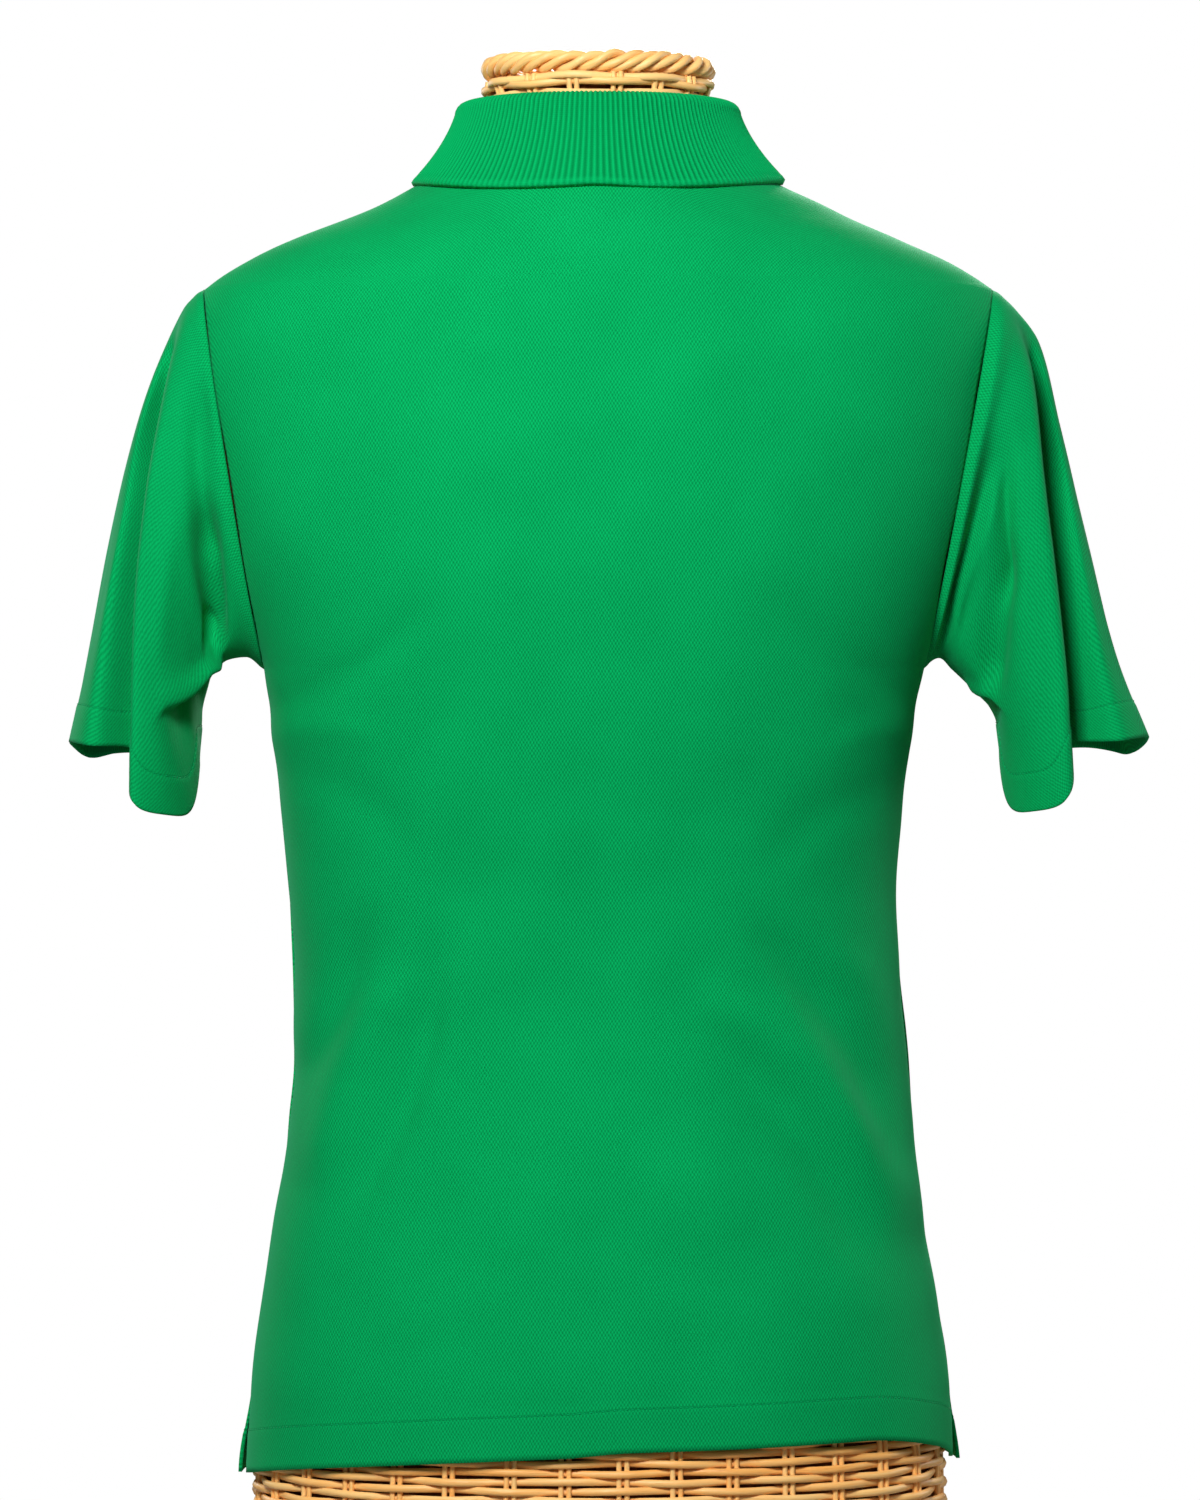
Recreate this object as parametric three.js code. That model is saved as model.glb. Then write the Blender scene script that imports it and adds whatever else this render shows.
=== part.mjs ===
// A short-sleeved polo shirt, worn by a limbless dress form of wicker.
// Millimetres, +Z up. The shirt's back faces +Y and the wearer's left is +X.
// The origin is the middle of the form's flat base.
import * as THREE from "three";

// Driving dimensions
const CLOTH = 1.5; // the wall of pique knit
const COLLAR_CLOTH = 1.8; // the wall of the ribbed collar
const SEAM = 0.3; // what sewn pieces keep between them

const HEM_Z = 104; // the hem at the side seams
const ARMPIT_Z = 540.5;
const SHOULDER_Z = 748; // the outer end of the shoulder seam
const NECK_TOP_Z = 871;
const ARMHOLE_DEEP = 54; // the armhole reaches this far to the back and to the front
const ARMHOLE_CROWN = { up: 3.2, across: 2.4 }; // exponents of its squarer upper half

const NECKLINE = { wide: 79, back: 68, front: 66 }; // the seam under the collar, half sizes in plan
// The side seams are open this far up from the hem, and the front's corners stand out and forward
// there, along the cloth that lies within `reach` of the seam.
const VENT = { high: 49, out: 4.5, forward: 2.2, reach: 22 };

const PLACKET = {
  half: 14,
  raised: 0.8, // the upper strip stands up from the front
  thick: 2.3,
  wider: 4, // the lower strip, at each side
  trim: 0.45, // both end this share of a row under the neckline
  across: 0.08, // where its edge lies between the middle and the side seam
};
const BUTTON = {
  radius: 5.6,
  thick: 2.6,
  edge: 0.6,
  rim: 0.66, // inner edge of the rim, and the foot of the dish, as shares of the radius
  foot: 0.56,
  dish: 0.7,
  steps: 20,
  heights: [757, 707, 657],
};

const COLLAR = {
  stays: 90, // steps round the neck on the plain side
  ribsPerStay: 2,
  rib: 0.45, // how far a rib stands up
  roll: 6, // radius of the roll at the good side
  rollWide: 71.5, // the middle of the roll in plan, half sizes
  rollBack: 61,
  rollFront: 63,
  rollZ: 843, // height of that middle at the back and the sides
  rollFrontZ: 800,
  rollFallsFrom: 0.45, // share of the way from the back to the end where it starts to come down
  edgeWide: 100.5, // the free edge of the fall in plan
  edgeBack: 81,
  lift: 2.6, // the good side of the edge over the shoulders
  bendAt: 0.5, // the fall hangs in a hollow curve
  bend: 3,
  pointX: 37, // the two points at the front
  pointY: -88,
  pointZ: 757,
  pointFrom: 0.5, // share of the way where the edge leaves the shoulders for the point
  pointBends: { x: 0.7, y: 3, z: 1.5 }, // exponents of how it gets there
  restY: -60, // it rests on nothing further to the front
  endGap: 1.6, // each end stops this far from the middle of the front
  above: 0.45, // how far the stand's lower edge lies over the neckline
};

// The trunk's sections from the base up: half widths at the left and the right, and depths. From
// the armpit to the shoulder the armhole's edge sets the width.
// `square` is the exponent of the rounded outline, 2 for an ellipse and more for a squarer one.
const TRUNK = [
  { z: 0, left: 181, right: 181, back: 119, front: 112, square: 2.3 },
  { z: 50, left: 188, right: 189, back: 126, front: 117, square: 2.35 },
  { z: 95, left: 191.8, right: 193.2, back: 130, front: 121, square: 2.4 },
  { z: 150, left: 189, right: 191.6, back: 130, front: 122, square: 2.4 },
  { z: 197, left: 183, right: 184.8, back: 125, front: 119, square: 2.4 },
  { z: 240, left: 176.4, right: 177, back: 118, front: 114, square: 2.35 },
  { z: 284, left: 169.5, right: 172.5, back: 110, front: 109, square: 2.3 },
  { z: 328, left: 166, right: 169.3, back: 103, front: 106, square: 2.25 },
  { z: 371, left: 166, right: 165, back: 99, front: 104, square: 2.25 },
  { z: 415, left: 168, right: 162.7, back: 99, front: 105, square: 2.3 },
  { z: 459, left: 172, right: 165, back: 103, front: 108, square: 2.35 },
  { z: 502, left: 176.4, right: 170.4, back: 109, front: 112, square: 2.4 },
  { z: ARMPIT_Z, left: 182, right: 177, back: 113, front: 115, square: 2.4 },
  { z: 600, left: 196, right: 193, back: 117, front: 116, square: 2.4 },
  { z: 660, left: 207, right: 205, back: 116, front: 112, square: 2.3 },
  { z: 705, left: 215, right: 215, back: 111, front: 103, square: 2.15 },
  { z: SHOULDER_Z, left: 214.5, right: 214.5, back: 102, front: 87, square: 2 },
];

// The shoulders' sections, from the shoulder seam's outer end to the neck.
const SHOULDERS = [
  { z: SHOULDER_Z, left: 214.5, right: 214.5, back: 102, front: 87, square: 2 },
  { z: 754, left: 206, right: 205.6, back: 100, front: 82.5, square: 1.98 },
  { z: 764.4, left: 187.6, right: 187.3, back: 96.5, front: 73, square: 1.9 },
  { z: 775.3, left: 163.8, right: 163.8, back: 92, front: 64, square: 1.82 },
  { z: 786.2, left: 137.5, right: 138.5, back: 86.5, front: 59.5, square: 1.76 },
  { z: 797, left: 113.5, right: 117, back: 80.5, front: 56.5, square: 1.75 },
  { z: 804, left: 100, right: 101.5, back: 74, front: 54.5, square: 1.8 },
  { z: 815.5, left: 79, right: 79, back: 62, front: 52, square: 1.9 },
  { z: 828, left: 68, right: 68, back: 57.5, front: 50.5, square: 2 },
];

// The form's neck, above the shirt's neckline.
const NECK = [
  { z: 824, wide: 63.5, back: 53.5, front: 47 },
  { z: 836, wide: 61, back: 51.5, front: 46 },
  { z: 850, wide: 61.8, back: 52, front: 47 },
  { z: 857, wide: 64.4, back: 54.5, front: 50 },
  { z: 864, wide: 63.2, back: 53.3, front: 49 },
  { z: 869, wide: 59.5, back: 49.5, front: 45 },
  { z: NECK_TOP_Z, wide: 53, back: 43, front: 39 },
];

// How far the form lies behind the cloth's good side: at its sides, its back and its front.
const CLEAR = [
  { z: 0, side: 2, back: 2, front: 2 },
  { z: 95, side: 2.4, back: 2.6, front: 3 },
  { z: 150, side: 3.2, back: 3.4, front: 3.8 },
  { z: 240, side: 5, back: 6, front: 7 },
  { z: 330, side: 7, back: 8, front: 9 },
  { z: 415, side: 7.5, back: 8, front: 9 },
  { z: 500, side: 5, back: 6.5, front: 7.5 },
  { z: ARMPIT_Z, side: 4, back: 5.5, front: 6 },
  { z: 600, side: 3.2, back: 4.5, front: 5.4 },
  { z: 660, side: 3, back: 3.5, front: 5.2 },
  { z: 715, side: 3.6, back: 3.2, front: 5 },
  { z: SHOULDER_Z, side: 4.8, back: 3.6, front: 5 },
  { z: 758, side: 2.4, back: 2.5, front: 5 },
  { z: 815.5, side: 2.4, back: 2.6, front: 4.2 },
];

// The back's hem: its height at places across, from the left seam (1) to the right seam (-1).
const BACK_HEM = [
  { across: -1, z: 111.4 },
  { across: -0.78, z: 124 },
  { across: -0.5, z: 132 },
  { across: -0.2, z: 130.5 },
  { across: 0.2, z: 124.5 },
  { across: 0.6, z: 115.5 },
  { across: 1, z: 103 },
];
const FRONT_HEM = [
  { across: -1, z: 110 },
  { across: -0.5, z: 117 },
  { across: 0, z: 121 },
  { across: 0.5, z: 116 },
  { across: 1, z: 102.5 },
];

// Soft ridges of the trunk's cloth, from one end to the other. `sag` bows the line down.
const RIDGES = [
  { side: 1, x0: 108, z0: 372, x1: 150, z1: 272, sag: 4, high: 4.2, wide: 13 },
  { side: 1, x0: -66, z0: 366, x1: -163, z1: 246, sag: 11, high: 4.6, wide: 13 },
  { side: 1, x0: 60, z0: 250, x1: -70, z1: 262, sag: 10, high: 1.8, wide: 26 },
  { side: -1, x0: 92, z0: 388, x1: 150, z1: 290, sag: -8, high: 3.6, wide: 18 },
  { side: -1, x0: -84, z0: 378, x1: -152, z1: 262, sag: -9, high: 3.2, wide: 19 },
  { side: -1, x0: 64, z0: 236, x1: -58, z1: 246, sag: 9, high: 1.8, wide: 26 },
];
const RIDGE_FADE = 0.15; // a ridge fades out this share of its length before and past its ends

// A sleeve hangs empty. `along` runs from the armhole (0) to the cuff (1). Each section is a ring
// through a point on the top and one under the arm, and it reaches to the back and the front.
// Each fold lies at an angle round the tube, from the top (0) over the back (90), at0 at the armhole
// and at1 at the cuff, and `early` under 1 brings it to at1 sooner. It grows from `starts` to `full`
// and moves the cloth outward, to the back and down. `flat` is 2 for a soft crest and more for a
// flat one with steeper sides.
const FOLD_COLUMNS = ["name", "at0", "at1", "early", "wide", "flat", "starts", "full", "out", "back", "down"];
const foldRows = (rows) => rows.map((row) => Object.fromEntries(row.map((value, i) => [FOLD_COLUMNS[i], value])));
const SLEEVE_LEFT = {
  sections: [
    { along: 0, topX: 214.5, topZ: SHOULDER_Z, underX: 182, underZ: ARMPIT_Z, back: ARMHOLE_DEEP, front: ARMHOLE_DEEP },
    { along: 0.06, topX: 226, topZ: 738, underX: 186, underZ: 544.5, back: 54, front: 54 },
    { along: 0.15, topX: 237, topZ: 716, underX: 192, underZ: 547.5, back: 54, front: 54 },
    { along: 0.33, topX: 252, topZ: 673, underX: 202, underZ: 546, back: 54, front: 54 },
    { along: 0.585, topX: 268, topZ: 608, underX: 212, underZ: 533, back: 54, front: 54 },
    { along: 0.81, topX: 279.5, topZ: 551, underX: 215, underZ: 512, back: 55, front: 55 },
    { along: 1, topX: 290, topZ: 502, underX: 217, underZ: 489, back: 55, front: 56 },
  ],
  folds: foldRows([
    ["valley", -14, 78, 0.5, 13, 2, 0.02, 0.32, -11, -30, -2],
    ["lobe edge", 4, 99, 0.5, 12, 2, 0.04, 0.35, 3, 4, 0],
    ["lobe", 80, 124, 1, 36, 4, 0.4, 1, 0, 3, 30],
    ["hollow", 112, 150, 1, 24, 2, 0.04, 0.3, -3, -10, 0],
    ["flap", 355, 345, 1, 38, 2, 0.15, 1, 0, -24, 0],
    ["far flap", 325, 322, 1, 30, 2, 0.5, 1, 0, 0, 8],
    ["near side", 300, 292, 1, 20, 2, 0.1, 0.9, 0, 15, 0],
  ]),
};
const SLEEVE_RIGHT = {
  sections: [
    { along: 0, topX: -214.5, topZ: SHOULDER_Z, underX: -177, underZ: ARMPIT_Z, back: ARMHOLE_DEEP, front: ARMHOLE_DEEP },
    { along: 0.06, topX: -227, topZ: 738, underX: -181, underZ: 545, back: 54, front: 54 },
    { along: 0.15, topX: -241, topZ: 719, underX: -186, underZ: 547, back: 54, front: 54 },
    { along: 0.33, topX: -252, topZ: 674, underX: -193, underZ: 541, back: 54, front: 54 },
    { along: 0.585, topX: -268, topZ: 608, underX: -207, underZ: 527, back: 54, front: 54 },
    { along: 0.81, topX: -283, topZ: 549, underX: -217, underZ: 512, back: 55, front: 55 },
    { along: 1, topX: -300, topZ: 505, underX: -220, underZ: 491, back: 55, front: 56 },
  ],
  folds: foldRows([
    ["valley", 6, 80, 0.75, 13, 2, 0.02, 0.32, -12, -28, -2],
    ["lobe edge", 24, 103, 0.75, 12, 2, 0.04, 0.35, 3, 4, 0],
    ["lobe", 80, 126, 1, 32, 4, 0.4, 1, -1, 3, 30],
    ["hollow", 112, 152, 1, 22, 2, 0.04, 0.3, -3, -10, 0],
    ["flap", 0, 10, 1, 34, 2, 0.2, 1, 0, 6, 0],
    ["far flap", 330, 326, 1, 30, 2, 0.5, 1, 0, -6, 9],
    ["near side", 296, 300, 1, 21, 2, 0.1, 0.9, 0, 13, 0],
  ]),
};

// Steps of the grids
const HALF_COLUMNS = 9; // from a side to the placket's line
const TRUNK_ROWS = [0, 0.055, 0.112, 0.21, 0.32, 0.43, 0.54, 0.65, 0.76, 0.88];
const ARMHOLE_ROWS = 9;
const SHOULDER_ROWS = 6;
const PLACKET_FOOT_ROW = 4; // the armhole row where the slit ends
// A sleeve's columns start behind the flap, cross the valley, run down the back to the underarm
// seam and come up along the front. Those by the valley follow it.
const SLEEVE_COLUMNS = [5, 11, 14, 12];
const FLAP_STARTS = -60;
const VALLEY_REACH = { before: 18, after: 24 };
const SLEEVE_ROWS = [0, 0.045, 0.1, 0.18, 0.28, 0.39, 0.51, 0.63, 0.75, 0.87, 1];
const FORM_COLUMNS = 38;
const FORM_LEVELS = [
  0, 48, 95, 150, 205, 265, 330, 400, 470, 540, 580, 620, 660, 700, 728, 742, 748, 756, 767, 778, 789, 799, 807, 814,
];

const lerp = (a, b, t) => a + (b - a) * t;
const clamp = (x, low, high) => Math.min(high, Math.max(low, x));
const smooth = (t) => {
  const k = clamp(t, 0, 1);
  return k * k * (3 - 2 * k);
};
const bell = (t) => Math.exp(-t * t);
const power = (base, exponent) => Math.sign(base) * Math.abs(base) ** exponent;
const radians = (degrees) => (degrees * Math.PI) / 180;

// A smooth curve through a table's column that never overshoots its rows.
function curve(rows, key, column) {
  const x = rows.map((row) => row[key]);
  const y = rows.map((row) => row[column]);
  const last = x.length - 1;
  const slope = x.slice(1).map((_, i) => (y[i + 1] - y[i]) / (x[i + 1] - x[i]));
  const tangent = y.map((_, i) => {
    if (i === 0) return slope[0];
    if (i === last) return slope[last - 1];
    const before = slope[i - 1];
    const after = slope[i];
    return before * after <= 0 ? 0 : (2 * before * after) / (before + after);
  });
  return (value) => {
    const at = clamp(value, x[0], x[last]);
    let i = 0;
    while (i < last - 1 && at > x[i + 1]) i += 1;
    const wide = x[i + 1] - x[i];
    const t = (at - x[i]) / wide;
    const a = (1 + 2 * t) * (1 - t) ** 2;
    const b = t * (1 - t) ** 2;
    const c = t * t * (3 - 2 * t);
    const d = t * t * (t - 1);
    return a * y[i] + b * wide * tangent[i] + c * y[i + 1] + d * wide * tangent[i + 1];
  };
}
const curves = (rows, key, columns) =>
  Object.fromEntries(columns.map((column) => [column, curve(rows, key, column)]));

const SECTION = ["left", "right", "back", "front", "square"];
const trunk = curves(TRUNK, "z", SECTION);
const shoulders = curves(SHOULDERS, "z", SECTION);
const clear = curves(CLEAR, "z", ["side", "back", "front"]);
const neck = curves(NECK, "z", ["wide", "back", "front"]);

// The armhole is an ellipse in a leaning plane, through the shoulder's end and the armpit.
const ARMHOLE_MID_Z = (SHOULDER_Z + ARMPIT_Z) / 2;
const ARMHOLE_HALF_HIGH = (SHOULDER_Z - ARMPIT_Z) / 2;
const ends = (name) => {
  const section = shoulders[name](SHOULDER_Z);
  return { top: section, under: trunk[name](ARMPIT_Z) };
};
const ARMHOLE = { left: ends("left"), right: ends("right") };

// How much of its depth the armhole has at a height, from its foot (-1) to its top (1).
const armholeShare = (up) =>
  up > 0 ? Math.max(0, 1 - up ** ARMHOLE_CROWN.up) ** (1 / ARMHOLE_CROWN.across) : Math.sqrt(Math.max(0, 1 - up * up));

// The exponent, depth and half width of the shirt's outline at a height.
function outline(z, hand, side) {
  const table = z < SHOULDER_Z ? trunk : shoulders;
  const square = table.square(z);
  const deep = side > 0 ? table.back(z) : table.front(z);
  if (z <= ARMPIT_Z || z >= SHOULDER_Z) return { square, deep, wide: table[hand](z) };
  const up = (z - ARMHOLE_MID_Z) / ARMHOLE_HALF_HIGH;
  const reach = ARMHOLE_DEEP * armholeShare(up);
  const { top, under } = ARMHOLE[hand];
  const edge = lerp(under, top, (up + 1) / 2);
  // The section passes through the armhole's edge at this height, so its width follows from it.
  const wide = edge / (1 - (reach / deep) ** square) ** (1 / square);
  return { square, deep, wide, reach };
}

const handOf = (x) => (x >= 0 ? "left" : "right");

// The direction that faces away from the body at a point of its outline.
function outward(x, y, z) {
  const side = y >= 0 ? 1 : -1;
  const step = 0.5;
  const here = outline(z, handOf(x), side);
  const value = (height) => {
    const o = outline(height, handOf(x), side);
    return (Math.abs(x) / o.wide) ** o.square + (Math.abs(y) / o.deep) ** o.square;
  };
  const p = here.square;
  const nx = (power(x, p - 1) / here.wide ** p) * p;
  const ny = (power(y, p - 1) / here.deep ** p) * p;
  const nz = (value(z + step) - value(z - step)) / (2 * step);
  return new THREE.Vector3(nx, ny, nz).normalize();
}

// The soft ridges' height at a point of the trunk.
function ridge(x, z, side) {
  let high = 0;
  for (const fold of RIDGES) {
    if (fold.side !== side) continue;
    const dx = fold.x1 - fold.x0;
    const dz = fold.z1 - fold.z0;
    const long = Math.hypot(dx, dz);
    const along = ((x - fold.x0) * dx + (z - fold.z0) * dz) / long ** 2;
    const bow = fold.sag * 4 * clamp(along, 0, 1) * (1 - clamp(along, 0, 1));
    const off = ((x - fold.x0) * -dz + (z - fold.z0) * dx) / long - bow * Math.sign(dx);
    const fade = (past) => smooth((past + RIDGE_FADE) / (2 * RIDGE_FADE));
    high += fold.high * bell(off / fold.wide) * fade(along) * fade(1 - along);
  }
  return high;
}

// The height at which the shoulders' surface stands over a place in plan.
function heightOver(x, y) {
  const side = y >= 0 ? 1 : -1;
  let low = SHOULDER_Z;
  let high = SHOULDERS.at(-1).z;
  for (let i = 0; i < 40; i += 1) {
    const z = (low + high) / 2;
    const o = outline(z, handOf(x), side);
    const inside = (Math.abs(x) / o.wide) ** o.square + (Math.abs(y) / o.deep) ** o.square < 1;
    if (inside) low = z;
    else high = z;
  }
  return (low + high) / 2;
}

const depthAt = (x, z, side) => {
  const o = outline(z, handOf(x), side);
  return side * o.deep * Math.max(0, 1 - (Math.abs(x) / o.wide) ** o.square) ** (1 / o.square);
};

// Geometry helpers
function geometryOf(points, triangles) {
  const geometry = new THREE.BufferGeometry();
  geometry.setAttribute("position", new THREE.Float32BufferAttribute(points.flatMap((p) => p.toArray()), 3));
  geometry.setIndex(triangles.flat());
  geometry.computeVertexNormals();
  return geometry;
}

// The two triangles of a cell whose corners run round it.
const quad = (a, b, c, d) => [
  [a, b, c],
  [a, c, d],
];

// Closes a sheet of triangles and its other side, `shift` places on in the list of points.
function closed(face, shift) {
  const key = (a, b) => a * shift + b;
  const edges = new Set(face.flatMap(([a, b, c]) => [key(a, b), key(b, c), key(c, a)]));
  const triangles = [...face, ...face.map(([a, b, c]) => [a + shift, c + shift, b + shift])];
  for (const [a, b, c] of face)
    for (const [p, q] of [[a, b], [b, c], [c, a]])
      if (!edges.has(key(q, p))) triangles.push([q, p, p + shift], [q, p + shift, q + shift]);
  return triangles;
}

// A wall between two grids of points. `round` joins the last column to the first, and `skips`
// tells the cells that are left out.
function wall(good, inner, { round = false, skips = () => false } = {}) {
  const rows = good.length;
  const columns = good[0].length;
  const at = (i, j) => i * columns + (j % columns);
  const points = good.flat();
  const face = [];
  for (let i = 0; i < rows - 1; i += 1)
    for (let j = 0; j < columns - (round ? 0 : 1); j += 1) {
      if (skips(i, j)) continue;
      const [a, b, c, d] = [at(i, j), at(i, j + 1), at(i + 1, j + 1), at(i + 1, j)];
      // A cell is split along its shorter diagonal.
      const first = points[a].distanceTo(points[c]) <= points[b].distanceTo(points[d]);
      face.push(...(first ? quad(a, b, c, d) : quad(b, c, d, a)));
    }
  const used = new Set(face.flat());
  const list = [...used].sort((a, b) => a - b);
  const place = new Map(list.map((index, n) => [index, n]));
  const renamed = face.map((triangle) => triangle.map((index) => place.get(index)));
  const flat = [points, inner.flat()].flatMap((all) => list.map((index) => all[index]));
  const triangles = closed(renamed, list.length);
  return geometryOf(flat, facesOut(flat, triangles));
}

// Turns every triangle round when the body is inside out.
function facesOut(points, triangles) {
  const volume = triangles.reduce(
    (sum, [a, b, c]) => sum + points[a].dot(new THREE.Vector3().crossVectors(points[b], points[c])),
    0,
  );
  return volume > 0 ? triangles : triangles.map(([a, b, c]) => [a, c, b]);
}

// Panels
// A panel's columns run from the left edge to the right. The ones beside the middle lie at the
// placket's edges. A column is a share of the way from there to the edge, and its hand.
const COLUMNS = [
  ...Array.from({ length: HALF_COLUMNS + 1 }, (_, k) => ({ hand: 1, share: 1 - k / HALF_COLUMNS })),
  { hand: 0, share: 0 },
  ...Array.from({ length: HALF_COLUMNS + 1 }, (_, k) => ({ hand: -1, share: k / HALF_COLUMNS })),
];

// The place of a column on the outline at one height.
function onOutline(z, side, column) {
  if (column.hand === 0) return { x: 0, y: depthAt(0, z, side) };
  const o = outline(z, handOf(column.hand), side);
  const nearest = Math.acos((PLACKET.half / o.wide) ** (o.square / 2));
  const farthest = o.reach ? Math.asin((o.reach / o.deep) ** (o.square / 2)) : 0;
  const angle = lerp(nearest, farthest, column.share);
  return {
    x: column.hand * o.wide * power(Math.cos(angle), 2 / o.square),
    y: side * o.deep * power(Math.sin(angle), 2 / o.square),
  };
}

function onNeckline(side, column) {
  const nearest = Math.asin(PLACKET.half / NECKLINE.wide);
  const angle = column.hand === 0 ? 0 : lerp(nearest, Math.PI / 2, column.share);
  const deep = side > 0 ? NECKLINE.back : NECKLINE.front;
  return { x: column.hand * NECKLINE.wide * Math.sin(angle), y: side * deep * Math.cos(angle) };
}

// The rows of a panel, each a list of points on the outline, from the hem to the neckline.
function panelRows(side) {
  const hem = curve(side > 0 ? BACK_HEM : FRONT_HEM, "across", "z");
  const across = (column) => column.hand * lerp(PLACKET.across, 1, column.share);
  const rows = TRUNK_ROWS.map((share) =>
    COLUMNS.map((column) => {
      const z = lerp(hem(across(column)), ARMPIT_Z, share);
      return { ...onOutline(z, side, column), z };
    }),
  );
  for (let i = 0; i <= ARMHOLE_ROWS; i += 1) {
    const z = ARMHOLE_MID_Z - ARMHOLE_HALF_HIGH * Math.cos((Math.PI * i) / ARMHOLE_ROWS);
    rows.push(COLUMNS.map((column) => ({ ...onOutline(z, side, column), z })));
  }
  const shoulderRow = rows.at(-1);
  for (let i = 1; i <= SHOULDER_ROWS; i += 1)
    rows.push(
      COLUMNS.map((column, j) => {
        const end = onNeckline(side, column);
        const x = lerp(shoulderRow[j].x, end.x, i / SHOULDER_ROWS);
        const y = lerp(shoulderRow[j].y, end.y, i / SHOULDER_ROWS);
        return { x, y, z: heightOver(x, y) };
      }),
    );
  return rows;
}

// A point of the shirt's good side, with the soft ridges, the vent's flare and the seam's share.
function clothPoint({ x, y, z }, side, moved) {
  const n = outward(x, y, z);
  const point = new THREE.Vector3(x, y, z);
  point.addScaledVector(n, ridge(x, z, side) + moved);
  point.y += (side * SEAM) / 2;
  return point;
}

function flared(point, side, z) {
  if (side > 0) return point;
  const strength = smooth((HEM_Z + VENT.high - z) / VENT.high) * bell(point.y / VENT.reach);
  point.x += Math.sign(point.x) * VENT.out * strength;
  point.y -= VENT.forward * strength;
  return point;
}

const panelGrid = (rows, side, moved) =>
  rows.map((row) => row.map((place) => flared(clothPoint(place, side, moved), side, place.z)));

const backRows = panelRows(1);
const frontRows = panelRows(-1);
const SLIT_ROW = TRUNK_ROWS.length + PLACKET_FOOT_ROW;
const MIDDLE = HALF_COLUMNS + 1;

function backGeometry() {
  return wall(panelGrid(backRows, 1, 0), panelGrid(backRows, 1, -CLOTH));
}

function frontGeometry() {
  const skips = (i, j) => i >= SLIT_ROW && (j === MIDDLE - 1 || j === MIDDLE);
  return wall(panelGrid(frontRows, -1, 0), panelGrid(frontRows, -1, -CLOTH), { skips });
}

// The placket's strips take their points from the front's, beside the slit and at its middle.
function stripRows(half) {
  const rows = frontRows.slice(SLIT_ROW).map((row) =>
    [half, 0, -half].map((x) => {
      const z = row[MIDDLE + (x === 0 ? 0 : -Math.sign(x))].z;
      return { x, y: depthAt(x, z, -1), z };
    }),
  );
  const top = rows.at(-1);
  const below = rows.at(-2);
  const trimmed = top.map((place, j) => {
    const z = lerp(place.z, below[j].z, PLACKET.trim);
    return { x: place.x, y: depthAt(place.x, z, -1), z };
  });
  const foot = rows[0].map((place) => {
    const z = place.z + SEAM;
    return { x: place.x, y: depthAt(place.x, z, -1), z };
  });
  return [foot, ...rows.slice(1, -1), trimmed];
}

function stripGeometry(half, out, thick) {
  const rows = stripRows(half);
  return wall(panelGrid(rows, -1, out), panelGrid(rows, -1, out - thick));
}

const overGeometry = () => stripGeometry(PLACKET.half - SEAM, PLACKET.raised, PLACKET.thick);
const underGeometry = () => stripGeometry(PLACKET.half + PLACKET.wider, -CLOTH - SEAM, CLOTH);

// Buttons lie on the flat faces of the upper strip.
function buttonMesh(height) {
  const middles = panelGrid(stripRows(PLACKET.half - SEAM), -1, PLACKET.raised).map((row) => row[1]);
  const i = middles.findIndex((point) => point.z > height) - 1;
  const along = new THREE.Vector3().subVectors(middles[i + 1], middles[i]).normalize();
  const seat = middles[i].clone().lerp(middles[i + 1], (height - middles[i].z) / (middles[i + 1].z - middles[i].z));
  const { radius, thick, edge, rim, foot, dish, steps } = BUTTON;
  const profile = [
    [0, 0],
    [radius - edge, 0],
    [radius, edge],
    [radius, thick - edge],
    [radius - edge, thick],
    [radius * rim, thick],
    [radius * foot, thick - dish],
    [0, thick - dish],
  ].map(([x, y]) => new THREE.Vector2(x, y));
  const mesh = new THREE.Mesh(new THREE.LatheGeometry(profile, steps));
  const out = new THREE.Vector3(0, -along.z, along.y).normalize();
  mesh.quaternion.setFromUnitVectors(new THREE.Vector3(0, 1, 0), out);
  mesh.position.copy(seat).addScaledVector(out, SEAM);
  return mesh;
}

// Sleeves
const ROUND_BY = 0.45; // from here on a sleeve's rings are ellipses
const NORMAL_STEP = { turn: 0.04, along: 0.01 }; // the steps that give a sleeve's normals
const SLEEVE_PARTS = ["topX", "topZ", "underX", "underZ", "back", "front"];

const foldAngle = (fold, along) => lerp(fold.at0, fold.at1, along ** fold.early);

function columnAngles(sleeve, along) {
  const valley = foldAngle(sleeve.folds[0], along);
  const ends = [FLAP_STARTS, valley - VALLEY_REACH.before, valley + VALLEY_REACH.after, 180, 360 + FLAP_STARTS];
  return SLEEVE_COLUMNS.flatMap((count, k) =>
    Array.from({ length: count }, (_, j) => radians(lerp(ends[k], ends[k + 1], j / count))),
  );
}

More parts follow.
